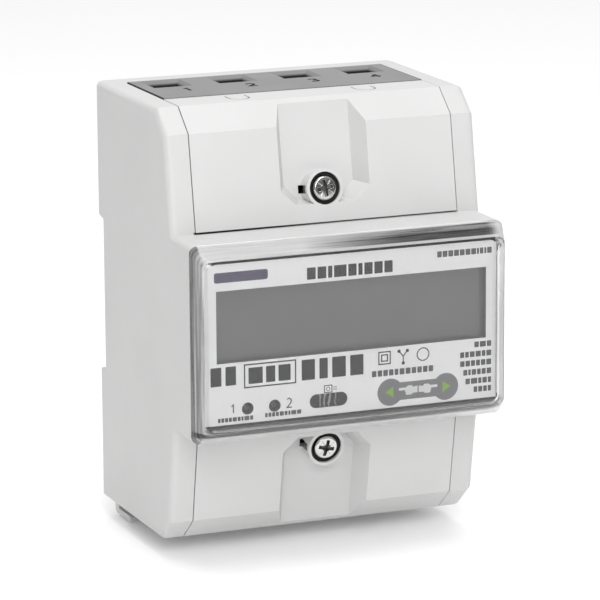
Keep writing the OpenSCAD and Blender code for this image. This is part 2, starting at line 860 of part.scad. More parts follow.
// Cross-headed screw of a cover, square to the sloping front.
module cover_screw() {
    color([0.8, 0.8, 0.82]) on_slope() difference() {
        union() {
            translate([0, 0, -head_sink - head_t]) cylinder(r = cover_head_r, h = head_t);
            translate([0, 0, -head_sink - head_t - cover_shank_len + fit])
                cylinder(r = cover_shank_r, h = cover_shank_len);
        }
        for (a = [45, 135]) rotate([0, 0, a])
            translate([-head_cross_len / 2, -head_cross_w / 2, -head_sink - head_cross_depth])
                cube([head_cross_len, head_cross_w, head_cross_depth + past]);
    }
}

// Both cover screws.
module cover_screws() {
    cover_screw();
    mirror([0, 0, 1]) cover_screw();
}

// Share of the window's slant that is reached at distance d from the seat.
function window_share(d) =
    max(0, (d - platform_d - window_rim) / (window_d - platform_d - window_rim));

// Cross-section of the window at distance d, set in on every side.
module window_section(d, inset, depth = thin) {
    s = window_share(d);
    in_front(d - depth, d)
        polygon(soft_frame(half_w - s * window_side_slant - inset,
            half_platform - s * window_top_slant - inset, edge_r));
}

// Clear moulded window: a shallow box whose sides slant in towards a flat front.
module front_window() {
    rim_d = platform_d + window_rim;
    color([0.85, 0.9, 0.92, 0.4]) difference() {
        hull() {
            window_section(rim_d, 0, window_rim);
            for (turn = [0 : 30 : 90])
                window_section(window_d - window_edge * (1 - sin(turn)),
                    window_edge * (1 - cos(turn)));
        }
        hull() {
            window_section(rim_d, window_wall, window_rim + past);
            window_section(window_d - window_t, window_wall);
        }
    }
}

// Outline of the two lamp holes, the optical port and the display opening.
module face_openings(grow) {
    translate([0, lcd_mid]) square([lcd_w + 2 * grow, lcd_h + 2 * grow], center = true);
    for (i = [0, 1]) translate([lamp_x + i * lamp_pitch, -lamp_drop]) circle(lamp_hole_r + grow);
    translate([port_x, -lamp_drop]) {
        square([port_w - port_h, port_h + 2 * grow], center = true);
        for (sx = [-1, 1]) translate([sx * (port_w - port_h) / 2, 0]) circle(port_h / 2 + grow);
    }
}

// Printed plate seen through the window.
module nameplate() {
    color([0.93, 0.93, 0.93]) in_front(carrier_front_d, label_d) difference() {
        translate([0, (label_top - label_bottom) / 2])
            square([label_w, label_top + label_bottom], center = true);
        face_openings(0);
    }
}

// Moulded tray under the nameplate that holds the display in front of its board.
module display_carrier() {
    w = cavity_w - 2 * seam;
    z = cavity_z - seam;
    top = label_top + plateau_rim;
    low = -label_bottom - plateau_rim;
    glass_d = carrier_front_d - carrier_t;
    color([0.82, 0.82, 0.82]) difference() {
        union() {
            bar_block(w, display_front_d, platform_d - fit, -z, z);
            bar_block(label_w, platform_d - past, carrier_front_d - fit / 2, low, top);
        }
        bar_block(w - 2 * carrier_t, display_front_d - past, platform_d - fit - carrier_t,
            -z + carrier_t, z - carrier_t);
        bar_block(label_w - 2 * carrier_t, platform_d - fit - 2 * carrier_t, glass_d,
            low + carrier_t, top - carrier_t);
        in_front(glass_d - past, label_d) face_openings(fit);
    }
}

// Liquid crystal cell behind the display opening.
module display_glass() {
    glass_d = carrier_front_d - carrier_t - fit;
    color([0.5, 0.52, 0.5]) translate([0, 0, lcd_mid])
        bar_block(lcd_w + 2 * lcd_rim, glass_d - lcd_t, glass_d,
            -lcd_h / 2 - lcd_rim, lcd_h / 2 + lcd_rim);
}

// Light guide that stands the display off its board.
module backlight_plate() {
    guide_d = carrier_front_d - carrier_t - lcd_t - 2 * fit;
    color([0.95, 0.95, 0.9]) translate([0, 0, lcd_mid])
        bar_block(lcd_w + 2 * guide_rim, display_front_d + fit, guide_d,
            -lcd_h / 2 - guide_rim, lcd_h / 2 + guide_rim);
}

// Board behind the display.
module display_board() {
    color([0.1, 0.4, 0.2])
        bar_block(board_w, display_board_d, display_front_d, -board_h / 2, board_h / 2);
}

// Pulse lamp with a domed tip and a flange at its foot.
module pulse_lamp(x) {
    r = lamp_hole_r - lamp_gap;
    foot_d = display_front_d + fit;
    color([0.6, 0.1, 0.1]) translate([x, 0, -lamp_drop]) {
        forward_rod(r + lamp_flange, foot_d, foot_d + lamp_foot_t);
        forward_rod(r, foot_d, carrier_front_d - r);
        translate([0, -carrier_front_d + r, 0]) rotate([90, 0, 0]) rotate_extrude() intersection() {
            circle(r);
            square([r, r]);
        }
    }
}

// The left lamp.
module left_pulse_lamp() {
    pulse_lamp(lamp_x);
}

// The right lamp.
module right_pulse_lamp() {
    pulse_lamp(lamp_x + lamp_pitch);
}

// Round optical part of the port, on the left for the emitter and on the right for the receiver.
module optical_part(sx) {
    color([0.1, 0.1, 0.12]) translate([port_x + sx * (port_w - port_h) / 2, 0, -lamp_drop])
        forward_rod(port_h / 2 - optic_gap, display_front_d + fit, carrier_front_d - optic_sink);
}

// Emitter of the optical port.
module optical_emitter() {
    optical_part(-1);
}

// Receiver of the optical port.
module optical_receiver() {
    optical_part(1);
}

// Sleeve that stands for the touch key's coil spring, between the board and the carrier.
module touch_spring(x) {
    color([0.8, 0.8, 0.8]) translate([x, 0, -key_drop]) difference() {
        forward_rod(touch_r, display_front_d + fit, carrier_front_d - carrier_t - fit);
        forward_rod(touch_r - touch_wire, display_front_d - past, carrier_front_d);
    }
}

// Spring of the left touch key.
module left_touch_spring() {
    touch_spring(key_x);
}

// Spring of the right touch key.
module right_touch_spring() {
    touch_spring(key_x + key_pitch);
}

// Main board, screwed to the posts of the rear plate.
module main_board() {
    color([0.1, 0.4, 0.2]) difference() {
        bar_block(board_w, main_board_d, board_front_d, -board_h / 2, board_h / 2);
        four_corners(post_x, post_z)
            forward_rod(board_screw_r + fit, main_board_d - past, board_front_d + past);
        tap_places() forward_rod(tap_r + fit, main_board_d - past, board_front_d + past);
    }
}

// Where each current bar is tapped for its voltage.
module tap_places() {
    each_pole() translate([0, 0, tap_z]) children();
}

// Brass pins from the current bars to the main board.
module voltage_pins() {
    color([0.85, 0.7, 0.35]) tap_places() forward_rod(tap_r, bar_front_d, board_front_d + past);
}

// Pin header that joins the two boards.
module board_header() {
    color([0.15, 0.15, 0.15]) translate([0, 0, board_h / 2 - header_drop])
        bar_block(header_w, board_front_d, display_board_d, -header_h / 2, header_h / 2);
}

// Metering chip on the main board.
module meter_chip() {
    color([0.12, 0.12, 0.12]) translate([meter_chip_x, 0, chip_z])
        bar_block(meter_chip_w, board_front_d, board_front_d + chip_t,
            -meter_chip_h / 2, meter_chip_h / 2);
}

// Processor on the main board.
module processor_chip() {
    color([0.12, 0.12, 0.12]) translate([processor_x, 0, chip_z])
        bar_block(processor_w, board_front_d, board_front_d + chip_t,
            -processor_w / 2, processor_w / 2);
}

// Small supply transformer with its bobbin.
module supply_transformer() {
    color([0.85, 0.75, 0.3]) translate([supply_x, 0, supply_z]) {
        bar_block(supply_w, board_front_d, board_front_d + supply_reach,
            -supply_h / 2, supply_h / 2);
        bar_block(bobbin_w, board_front_d, board_front_d + bobbin_reach,
            -bobbin_h / 2, bobbin_h / 2);
    }
}

// Pair of electrolytic capacitors of the supply.
module supply_capacitors() {
    color([0.15, 0.2, 0.35]) for (sx = [-1, 1]) translate([supply_x + sx * can_pitch / 2, 0, can_z])
        forward_rod(can_r, board_front_d, board_front_d + can_len);
}

// Screws that hold the main board.
module board_screws() {
    head_d = board_front_d + board_head_t;
    color([0.8, 0.8, 0.82]) four_corners(post_x, post_z) difference() {
        union() {
            forward_rod(board_screw_r, main_board_d - board_screw_len, board_front_d);
            forward_rod(board_head_r, board_front_d, head_d);
        }
        cross_slot(2 * board_screw_r, small_cross_w, head_d - small_cross_depth, head_d + past);
    }
}

// Two screws that draw the rear plate into the housing.
module housing_screws() {
    head_rear = -skirt_d + seam;
    color([0.8, 0.8, 0.82]) body_screw_places() difference() {
        union() {
            forward_rod(body_screw_r - seam - fit / 2, head_rear, body_screw_len);
            forward_rod(body_head_r, head_rear, head_rear + body_head_t);
        }
        cross_slot(2 * body_screw_r, small_cross_w, head_rear - past,
            head_rear + small_cross_depth);
    }
}

// One clamp of the upper or lower row.
module clamp_at(i, side) {
    mirror([0, 0, side > 0 ? 0 : 1]) translate([pole_x(i), 0, 0]) cage_clamp();
}

main_housing();
rear_plate();
upper_terminal_cover();
lower_terminal_cover();
cover_screws();
front_window();
nameplate();
display_carrier();
display_glass();
backlight_plate();
display_board();
left_pulse_lamp();
right_pulse_lamp();
optical_emitter();
optical_receiver();
left_touch_spring();
right_touch_spring();
main_board();
board_header();
meter_chip();
processor_chip();
supply_transformer();
supply_capacitors();
voltage_pins();
board_screws();
upper_terminal_block();
lower_terminal_block();
clamp_at(0, 1);  // upper_clamp_1
clamp_at(1, 1);  // upper_clamp_2
clamp_at(2, 1);  // upper_clamp_3
clamp_at(3, 1);  // upper_clamp_4
clamp_at(0, -1);  // lower_clamp_1
clamp_at(1, -1);  // lower_clamp_2
clamp_at(2, -1);  // lower_clamp_3
clamp_at(3, -1);  // lower_clamp_4
upper_terminal_screws();
lower_terminal_screws();
current_bar(0);  // current_bar_1
current_bar(1);  // current_bar_2
current_bar(2);  // current_bar_3
current_bar(3);  // neutral_bar
current_transformer(0);  // current_transformer_1
current_transformer(1);  // current_transformer_2
current_transformer(2);  // current_transformer_3
housing_screws();
left_rail_clip();
right_rail_clip();
left_clip_spring();
right_clip_spring();
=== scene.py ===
"""Looks of a rail-mounted three-phase energy meter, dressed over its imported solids."""
import math

import bmesh
import bpy
import numpy as np
from mathutils import Matrix, Vector


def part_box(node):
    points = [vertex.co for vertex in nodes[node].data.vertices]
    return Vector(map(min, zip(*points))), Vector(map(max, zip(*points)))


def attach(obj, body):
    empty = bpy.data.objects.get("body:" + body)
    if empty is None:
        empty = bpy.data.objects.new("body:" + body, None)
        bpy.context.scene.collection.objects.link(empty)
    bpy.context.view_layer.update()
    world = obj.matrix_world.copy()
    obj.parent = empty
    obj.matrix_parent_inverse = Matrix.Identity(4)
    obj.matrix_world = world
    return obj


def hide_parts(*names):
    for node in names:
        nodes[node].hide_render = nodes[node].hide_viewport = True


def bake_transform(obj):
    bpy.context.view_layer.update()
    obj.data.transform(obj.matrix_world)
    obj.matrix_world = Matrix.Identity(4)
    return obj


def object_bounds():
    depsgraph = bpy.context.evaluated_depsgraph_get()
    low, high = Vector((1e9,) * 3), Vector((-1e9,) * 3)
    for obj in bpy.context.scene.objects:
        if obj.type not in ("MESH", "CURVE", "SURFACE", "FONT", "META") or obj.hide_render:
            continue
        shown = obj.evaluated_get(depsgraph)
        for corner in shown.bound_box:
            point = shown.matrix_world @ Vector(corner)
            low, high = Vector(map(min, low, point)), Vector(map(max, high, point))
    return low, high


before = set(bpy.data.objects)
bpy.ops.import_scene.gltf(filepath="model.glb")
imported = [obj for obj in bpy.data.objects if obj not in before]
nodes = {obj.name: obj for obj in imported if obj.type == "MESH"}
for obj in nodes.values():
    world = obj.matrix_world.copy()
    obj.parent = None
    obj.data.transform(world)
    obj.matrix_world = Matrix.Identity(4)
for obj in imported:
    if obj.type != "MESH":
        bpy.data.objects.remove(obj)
cad_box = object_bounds()


# Housing: one shell of light grey flame-retardant polycarbonate, injection moulded with a fine
# spark texture. Its outer edges are softened by the mould, and its inner walls carry the rest.
MM = 0.001
SLOW_GRAIN, MIDDLE_GRAIN, SPARK_GRAIN = 45.0, 240.0, 1600.0
GLOSS_SWING, SPARK_STRENGTH = 0.05, 0.35
HOUSING_GREY, HOUSING_EDGE = (0.60, 0.60, 0.597), 0.35
SAME_POINT, FLAT_ANGLE, SHARP_ANGLE, FACE_WEIGHT = 2e-6, 0.5, 34.0, 80


def fresh_material(name):
    """A new material with its node tree, its shader and its Object coordinates."""
    material = bpy.data.materials.new(name)
    material.use_nodes = True
    tree = material.node_tree
    place = tree.nodes.new("ShaderNodeTexCoord").outputs["Object"]
    return material, tree, tree.nodes["Principled BSDF"], place


def noise_of(tree, place, scale, detail=2.0):
    """Strength of a noise with the given cycles per metre at a place."""
    noise = tree.nodes.new("ShaderNodeTexNoise")
    noise.inputs["Scale"].default_value = scale
    noise.inputs["Detail"].default_value = detail
    tree.links.new(place, noise.inputs["Vector"])
    return noise.outputs["Fac"]


def shades_of(tree, strength, dark, light, dark_at=0.0, light_at=1.0):
    """Colour that runs from dark to light as the strength goes from dark_at to light_at."""
    shades = tree.nodes.new("ShaderNodeValToRGB")
    for stop, at, colour in zip(shades.color_ramp.elements, (dark_at, light_at), (dark, light)):
        stop.position = at
        stop.color = (*colour, 1)
    tree.links.new(strength, shades.inputs["Fac"])
    return shades.outputs["Color"]


def gloss_from(tree, strength, smooth, rough, shader):
    """Roughness that runs from smooth to rough as the strength goes from 0 to 1."""
    gloss = tree.nodes.new("ShaderNodeMapRange")
    gloss.inputs["To Min"].default_value = smooth
    gloss.inputs["To Max"].default_value = rough
    tree.links.new(strength, gloss.inputs["Value"])
    tree.links.new(gloss.outputs["Result"], shader.inputs["Roughness"])


def bump_from(tree, strength, share, depth, shader):
    """Bump of depth millimetres, of which the given share is kept."""
    bump = tree.nodes.new("ShaderNodeBump")
    bump.inputs["Strength"].default_value = share
    bump.inputs["Distance"].default_value = depth * MM
    tree.links.new(strength, bump.inputs["Height"])
    tree.links.new(bump.outputs["Normal"], shader.inputs["Normal"])


def moulded_plastic(name, colour, roughness, mottle=0.02, grain=SPARK_GRAIN, depth=0.010):
    """Plain moulded plastic: base colour times 1 +- mottle from a slow noise, roughness plus or
    minus a swing from a middle noise, and a bump of depth millimetres from a fine noise."""
    material, tree, shader, place = fresh_material(name)
    slow = noise_of(tree, place, SLOW_GRAIN)
    dark = [c * (1 - mottle) for c in colour]
    light = [min(1.0, c * (1 + mottle)) for c in colour]
    tree.links.new(shades_of(tree, slow, dark, light, 0.3, 0.7), shader.inputs["Base Color"])
    gloss_from(tree, noise_of(tree, place, MIDDLE_GRAIN, 3.0), roughness - GLOSS_SWING,
               roughness + GLOSS_SWING, shader)
    bump_from(tree, noise_of(tree, place, grain), SPARK_STRENGTH, depth, shader)
    return material


def finish_with(piece, material):
    """Gives every face of the piece this one material."""
    piece.data.materials.clear()
    piece.data.materials.append(material)


def softened(node, name, body, material, width, rounds=2):
    """A copy of a CAD node whose coplanar triangles are joined and whose sharp edges are rounded
    with the given radius in millimetres, as the mould leaves them."""
    mesh = nodes[node].data.copy()
    work = bmesh.new()
    work.from_mesh(mesh)
    bmesh.ops.remove_doubles(work, verts=work.verts, dist=SAME_POINT)
    bmesh.ops.dissolve_limit(work, angle_limit=math.radians(FLAT_ANGLE), verts=work.verts,
                             edges=work.edges, use_dissolve_boundaries=False)
    for face in work.faces:
        face.smooth = True
    work.to_mesh(mesh)
    work.free()
    piece = bpy.data.objects.new(name, mesh)
    bpy.context.scene.collection.objects.link(piece)
    bevel = piece.modifiers.new("soft edges", "BEVEL")
    bevel.width = width * MM
    bevel.segments = rounds
    bevel.limit_method = "ANGLE"
    bevel.angle_limit = math.radians(SHARP_ANGLE)
    bevel.use_clamp_overlap = True
    bevel.harden_normals = False
    even = piece.modifiers.new("even shading", "WEIGHTED_NORMAL")
    even.keep_sharp = True
    even.weight = FACE_WEIGHT
    finish_with(piece, material)
    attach(piece, body)
    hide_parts(node)


housing_plastic = moulded_plastic("housing plastic", HOUSING_GREY, 0.48)
softened("main_housing", "housing_shell", "meter", housing_plastic,
         HOUSING_EDGE)


# Rear plate: flat moulding of the same plastic that closes the back, with the rail recess, the
# two fixed hooks and the channels of the sliding clips. Two zinc-plated screws above and two
# tongues at its foot hold it in the housing.
REAR_EDGE = 0.2
ROLLED_GRAIN, ROLLED_DEPTH, ROLLED_STRENGTH = (900.0, 900.0, 260.0), 0.004, 0.2
rear_plastic = moulded_plastic("rear plastic", HOUSING_GREY, 0.52)
softened("rear_plate", "rear_moulding", "meter", rear_plastic, REAR_EDGE)


def stretched(tree, place, scale, shift=(0.0, 0.0, 0.0)):
    """Coordinates scaled by one factor for each axis, then moved by shift."""
    mapping = tree.nodes.new("ShaderNodeMapping")
    mapping.inputs["Scale"].default_value = scale
    mapping.inputs["Location"].default_value = shift
    tree.links.new(place, mapping.inputs["Vector"])
    return mapping.outputs["Vector"]


def plated_steel(name, colour, roughness, wear=0.06):
    """Plated metal: full metal whose colour is times 0.9 to 1.06 and whose roughness is plus or
    minus wear from one stretched noise, which also gives the fine lines of the rolled sheet."""
    material, tree, shader, place = fresh_material(name)
    shader.inputs["Metallic"].default_value = 1.0
    rolled = noise_of(tree, stretched(tree, place, ROLLED_GRAIN), 1.0, 3.0)
    dark, light = [c * 0.9 for c in colour], [min(1.0, c * 1.06) for c in colour]
    tree.links.new(shades_of(tree, rolled, dark, light), shader.inputs["Base Color"])
    gloss_from(tree, rolled, roughness - wear, roughness + wear, shader)
    bump_from(tree, rolled, ROLLED_STRENGTH, ROLLED_DEPTH, shader)
    return material


zinc_steel = plated_steel("zinc plated steel", (0.62, 0.62, 0.61), 0.32)
for node in ("housing_screws", "board_screws"):
    finish_with(nodes[node], zinc_steel)


# Rail clips: two stiff white slides of glass-filled nylon behind the meter. A coil spring in each
# pushes it up against the rail's lower edge, and the bent tab under the meter pulls it down.
CLIP_EDGE = 0.2
WIRE_R, WIRE_SIDES, COIL_TURNS, COIL_STEPS = 0.25 * MM, 10, 7.5, 240
END_SHARE, CREEP = 0.1, 0.06
clip_nylon = moulded_plastic("clip nylon", (0.64, 0.64, 0.63), 0.42, mottle=0.03)
for side in ("left", "right"):
    softened(f"{side}_rail_clip", f"{side}_clip_slide", f"{side}_clip",
             clip_nylon, CLIP_EDGE)
spring_wire = plated_steel("spring wire", (0.50, 0.50, 0.51), 0.28)


def grid_quads(rows, count, closed_rows=True, closed_columns=False):
    """Quads of a grid of points with count points in each row. The last point of a row joins the
    first where rows are closed, and the last row joins the first where columns are closed."""
    i, j = np.meshgrid(np.arange(rows - (not closed_columns)),
                       np.arange(count - (not closed_rows)), indexing="ij")
    i2, j2 = (i + 1) % rows, (j + 1) % count
    return np.stack([i * count + j, i2 * count + j, i2 * count + j2, i * count + j2],
                    -1).reshape(-1, 4)


def tube_along(path, radius, around):
    """Round wire swept along a path: each point of the path carries a circle of the given radius,
    set square to the path with a steadily carried side direction, and both ends are closed."""
    path = np.asarray(path, float)
    ahead = np.gradient(path, axis=0)
    ahead /= np.linalg.norm(ahead, axis=1, keepdims=True)
    across = np.cross(ahead, [0.0, 0.0, 1.0])
    across /= np.linalg.norm(across, axis=1, keepdims=True)
    up = np.cross(across, ahead)
    turn = np.linspace(0, 2 * np.pi, around, endpoint=False)
    rings = (path[:, None] + radius * (np.cos(turn)[None, :, None] * across[:, None]
                                       + np.sin(turn)[None, :, None] * up[:, None]))
    last = (len(path) - 1) * around
    faces = grid_quads(len(path), around).tolist()
    faces += [list(range(around))[::-1], list(range(last, last + around))]
    return rings.reshape(-1, 3), faces


def new_piece(name, points, faces, body, material, smooth=True):
    """Makes one object from points in metres and faces, facing outwards, and puts it on a body."""
    mesh = bpy.data.meshes.new(name)
    mesh.from_pydata(np.asarray(points, float).tolist(), [], faces)
    mesh.validate()
    work = bmesh.new()
    work.from_mesh(mesh)
    bmesh.ops.recalc_face_normals(work, faces=work.faces)
    for face in work.faces:
        face.smooth = smooth
    work.to_mesh(mesh)
    work.free()
    piece = bpy.data.objects.new(name, mesh)
    bpy.context.scene.collection.objects.link(piece)
    finish_with(piece, material)
    if body:
        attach(piece, body)
    return piece


for side in ("left", "right"):
    low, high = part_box(f"{side}_clip_spring")
    middle_x, middle_y = (low.x + high.x) / 2, (low.y + high.y) / 2
    coil_r, rise = (high.x - low.x) / 2 - WIRE_R, high.z - low.z - 2 * WIRE_R
    share = np.linspace(0, 1, COIL_STEPS)
    angle = 2 * np.pi * COIL_TURNS * share
    lift = np.clip((share - END_SHARE) / (1 - 2 * END_SHARE), 0, 1)
    helix = np.stack([middle_x + coil_r * np.cos(angle), middle_y + coil_r * np.sin(angle),
                      low.z + WIRE_R + rise * (CREEP * share + (1 - CREEP) * lift)], 1)
    points, faces = tube_along(helix, WIRE_R, WIRE_SIDES)
    coil = new_piece(f"{side}_coil_spring", points, faces, None, spring_wire)
    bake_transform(coil)
    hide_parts(f"{side}_clip_spring")


# Terminal blocks: mid grey polyamide, one above and one below, each with a square chamfered mouth
# for every wire. Steel cages, screws and copper bars sit in their chambers, in deep shade.
TERMINAL_EDGE, TERMINAL_SPECULAR = 0.15, 0.25
# Painted shade deep in the chambers and along the block's ends and front edge: where each ramp
# begins and is full, and how deep the shade is.
TERMINAL_SHADE = (([("|Z|", 49.8, 49.35)], 0.92), ([("|X|", 31.65, 31.85)], 0.85),
                  ([("|Y|", 38.2, 38.4)], 0.85))


def ramp_share(tree, ramps):
    """A share from 0 to 1, as the product of straight ramps over Object coordinates. Each ramp
    names its axis, with bars where the distance from the middle plane counts, and the places in
    millimetres where it is 0 and where it is 1."""
    place = tree.nodes.new("ShaderNodeTexCoord")
    split = tree.nodes.new("ShaderNodeSeparateXYZ")
    tree.links.new(place.outputs["Object"], split.inputs["Vector"])
    share = None
    for axis, none_at, full_at in ramps:
        along = split.outputs[axis.strip("|")]
        if axis.startswith("|"):
            away = tree.nodes.new("ShaderNodeMath")
            away.operation = "ABSOLUTE"
            tree.links.new(along, away.inputs[0])
            along = away.outputs["Value"]
        ramp = tree.nodes.new("ShaderNodeMapRange")
        ramp.inputs["From Min"].default_value = none_at * MM
        ramp.inputs["From Max"].default_value = full_at * MM
        tree.links.new(along, ramp.inputs["Value"])
        if share is None:
            share = ramp.outputs["Result"]
            continue
        product = tree.nodes.new("ShaderNodeMath")
        product.operation = "MULTIPLY"
        tree.links.new(share, product.inputs[0])
        tree.links.new(ramp.outputs["Result"], product.inputs[1])
        share = product.outputs["Value"]
    return share


def dim_where(material, ramps, depth):
    """Paints shade into a material: scales its colour by 1 - depth x the product of the ramps,
    as in a deep corner.
    """
    tree = material.node_tree
    colour = tree.nodes["Principled BSDF"].inputs["Base Color"]
    shade = tree.nodes.new("ShaderNodeMath")
    shade.operation = "MULTIPLY_ADD"
    shade.inputs[1].default_value = -depth
    shade.inputs[2].default_value = 1.0
    scaled = tree.nodes.new("ShaderNodeVectorMath")
    scaled.operation = "SCALE"
    tree.links.new(ramp_share(tree, ramps), shade.inputs[0])
    tree.links.new(colour.links[0].from_socket, scaled.inputs[0])
    tree.links.new(shade.outputs["Value"], scaled.inputs["Scale"])
    tree.links.new(scaled.outputs["Vector"], colour)


def duller(material, level):
    """Lowers the part of the light that a material mirrors at its surface."""
    material.node_tree.nodes["Principled BSDF"].inputs["Specular IOR Level"].default_value = level
    return material


terminal_nylon = duller(moulded_plastic("terminal nylon", (0.25, 0.25, 0.25), 0.6, mottle=0.08),
                        TERMINAL_SPECULAR)
for ramps, depth in TERMINAL_SHADE:
    dim_where(terminal_nylon, ramps, depth)
cage_steel = plated_steel("cage steel", (0.60, 0.59, 0.55), 0.36)
for side in ("upper", "lower"):
    softened(f"{side}_terminal_block", f"{side}_terminal_moulding", "meter",
             terminal_nylon, TERMINAL_EDGE, rounds=1)
    for i in range(4):
        finish_with(nodes[f"{side}_clamp_{i + 1}"], cage_steel)
    finish_with(nodes[f"{side}_terminal_screws"], zinc_steel)
copper = plated_steel("rolled copper", (0.72, 0.42, 0.28), 0.34)
for node in ("current_bar_1", "current_bar_2", "current_bar_3", "neutral_bar"):
    finish_with(nodes[node], copper)


# Electronics: two green laminate boards on posts, with the supply, the metering chips, the
# current rings round the copper bars and the pins that tap their voltage.
laminate = moulded_plastic("green laminate", (0.04, 0.17, 0.08), 0.35, mottle=0.12)
black_resin = moulded_plastic("black resin", (0.022, 0.022, 0.022), 0.45, mottle=0.1)
ring_resin = moulded_plastic("cast blue resin", (0.05, 0.09, 0.24), 0.4, mottle=0.06)
supply_tape = moulded_plastic("supply tape", (0.66, 0.47, 0.08), 0.3, mottle=0.05)
can_sleeve = moulded_plastic("capacitor sleeve", (0.035, 0.045, 0.10), 0.25, mottle=0.05)
pin_brass = plated_steel("pin brass", (0.78, 0.60, 0.28), 0.25)
for node, material in (
    ("main_board", laminate), ("display_board", laminate), ("board_header", black_resin),
    ("meter_chip", black_resin), ("processor_chip", black_resin), ("voltage_pins", pin_brass),
    ("supply_transformer", supply_tape), ("supply_capacitors", can_sleeve),
    ("current_transformer_1", ring_resin), ("current_transformer_2", ring_resin),
    ("current_transformer_3", ring_resin), ("left_touch_spring", spring_wire),
    ("right_touch_spring", spring_wire),
):
    finish_with(nodes[node], material)


# Display: a grey liquid crystal cell over a milky light guide, held in a tray whose dark grey is
# painted shade for the gap beside the cell. The unlit cell is a plain dull grey behind its
# polariser. FINE is a polished surface's bump, in mm.
FINE = 0.002
# Painted shade: the tray is dark grey, so that the gap beside the display reads as shadow.
tray_shade_plastic = moulded_plastic("tray shade plastic", (0.16, 0.16, 0.16), 0.5)
guide_resin = moulded_plastic("light guide", (0.80, 0.81, 0.78), 0.2)
cell_film = moulded_plastic("display film", (0.130, 0.132, 0.130), 0.32, mottle=0.03, depth=FINE)
finish_with(nodes["display_carrier"], tray_shade_plastic)
finish_with(nodes["backlight_plate"], guide_resin)
finish_with(nodes["display_glass"], cell_film)


# Pulse lamps and optical port: tinted clear resin lamps with a domed tip, and a dark emitter and
# receiver side by side behind one ribbed lens of smoked resin that fills the slot.
PORT_X, PORT_Z, PORT_HALF, PORT_R = -6.0, -14.8, 4.6, 1.6
LENS_D, LENS_T, DOME_X, DOME_AREA, DOME_H = 58.75, 0.25, 3.0, 2.2, 0.10
RIB_HALF, RIB_H, RIB_RATE, RIB_CENTRE = 2.9, 0.11, 14.3, 2.6
SMOKE, STREAK_DARK, GLINT_PALE = 0.012, 0.010, (0.36, 0.36, 0.35)
lamp_resin = moulded_plastic("lamp resin", (0.035, 0.033, 0.033), 0.2, mottle=0.4, depth=FINE)
optic_resin = moulded_plastic("optic resin", (0.014, 0.013, 0.014), 0.18, mottle=0.2, depth=FINE)
for node in ("left_pulse_lamp", "right_pulse_lamp"):
    finish_with(nodes[node], lamp_resin)
for node in ("optical_emitter", "optical_receiver"):
    finish_with(nodes[node], optic_resin)


def port_lens(name, material):
    """Smoked lens that fills the slot: a grid over its length and height inside the stadium, whose
    face is two shallow domes at the ends and fan-shaped ribs in between, with a flat back."""
    along, across = np.meshgrid(np.linspace(-1, 1, 90), np.linspace(-1, 1, 28), indexing="ij")
    x = PORT_HALF * np.sin(np.pi / 2 * along)
    past_middle = np.clip(np.abs(x) - (PORT_HALF - PORT_R), 0, None)
    half = np.sqrt(np.clip(PORT_R ** 2 - past_middle ** 2, 0, None))
    z = across * np.maximum(half, 0.02)
    domes = np.clip(1 - ((np.abs(x) - DOME_X) ** 2 + z ** 2) / DOME_AREA, 0, 1)
    middle = np.clip(1 - (np.abs(x) / RIB_HALF) ** 4, 0, 1)
    ribs = (np.sin(RIB_RATE * np.arctan2(x, z + RIB_CENTRE)) * RIB_H * middle
            * np.clip(1.2 - across ** 2, 0, 1))
    face = LENS_D + DOME_H * domes + ribs
    front = np.stack([x + PORT_X, -face, z + PORT_Z], -1).reshape(-1, 3)
    back = np.stack([x + PORT_X, np.full_like(x, -LENS_D + LENS_T), z + PORT_Z], -1).reshape(-1, 3)
    n, m = x.shape
    quads = grid_quads(n, m, closed_rows=False)
    rim = np.concatenate([np.arange(n) * m, (n - 1) * m + np.arange(1, m),
                          (np.arange(n - 1)[::-1]) * m + m - 1, np.arange(1, m - 1)[::-1]])
    ahead = np.roll(rim, -1)
    sides = np.stack([rim, ahead, ahead + n * m, rim + n * m], -1)
    faces = quads.tolist() + (quads[:, ::-1] + n * m).tolist() + sides.tolist()
    return new_piece(name, np.concatenate([front, back]) * MM, faces, "meter",
                     material)


def glint_painted_resin(name):
    """Smoked clear resin: near black, with pale streaks of a strongly distorted wave along X,
    painted glints of the ribs, that fade out towards the round ends of the slot."""
    smoke = (SMOKE, SMOKE, SMOKE)
    material = duller(moulded_plastic(name, smoke, 0.12, mottle=0.2, depth=FINE), 0.12)
    tree = material.node_tree
    place = tree.nodes.new("ShaderNodeTexCoord").outputs["Object"]
    centred = stretched(tree, place, (1.0, 1.0, 1.0), (-PORT_X * MM, 0.0, -PORT_Z * MM))
    wave = tree.nodes.new("ShaderNodeTexWave")
    wave.bands_direction = "X"
    for entry, value in (("Scale", 260.0), ("Distortion", 5.0), ("Detail", 3.0),
                         ("Detail Scale", 2.0)):
        wave.inputs[entry].default_value = value
    tree.links.new(centred, wave.inputs["Vector"])
    pale = shades_of(tree, wave.outputs["Fac"], (STREAK_DARK,) * 3, GLINT_PALE, 0.55)
    split = tree.nodes.new("ShaderNodeSeparateXYZ")
    away = tree.nodes.new("ShaderNodeMath")
    away.operation = "ABSOLUTE"
    fade = tree.nodes.new("ShaderNodeMapRange")
    for entry, value in (("From Min", 1.6 * MM), ("From Max", 3.0 * MM), ("To Min", 1.0),
                         ("To Max", 0.0)):
        fade.inputs[entry].default_value = value
    streaks = tree.nodes.new("ShaderNodeMix")
    streaks.data_type = "RGBA"
    streaks.inputs["A"].default_value = (*smoke, 1)
    for out, into in (
        (centred, split.inputs["Vector"]), (split.outputs["X"], away.inputs[0]),
        (away.outputs["Value"], fade.inputs["Value"]),
        (fade.outputs["Result"], streaks.inputs["Factor"]), (pale, streaks.inputs["B"]),
        (streaks.outputs["Result"], tree.nodes["Principled BSDF"].inputs["Base Color"]),
    ):
        tree.links.new(out, into)
    return material


# Painted glints: pale streaks in the lens's colour stand for the light that its ribs catch.
port_lens("port_lens", glint_painted_resin("glint painted resin"))


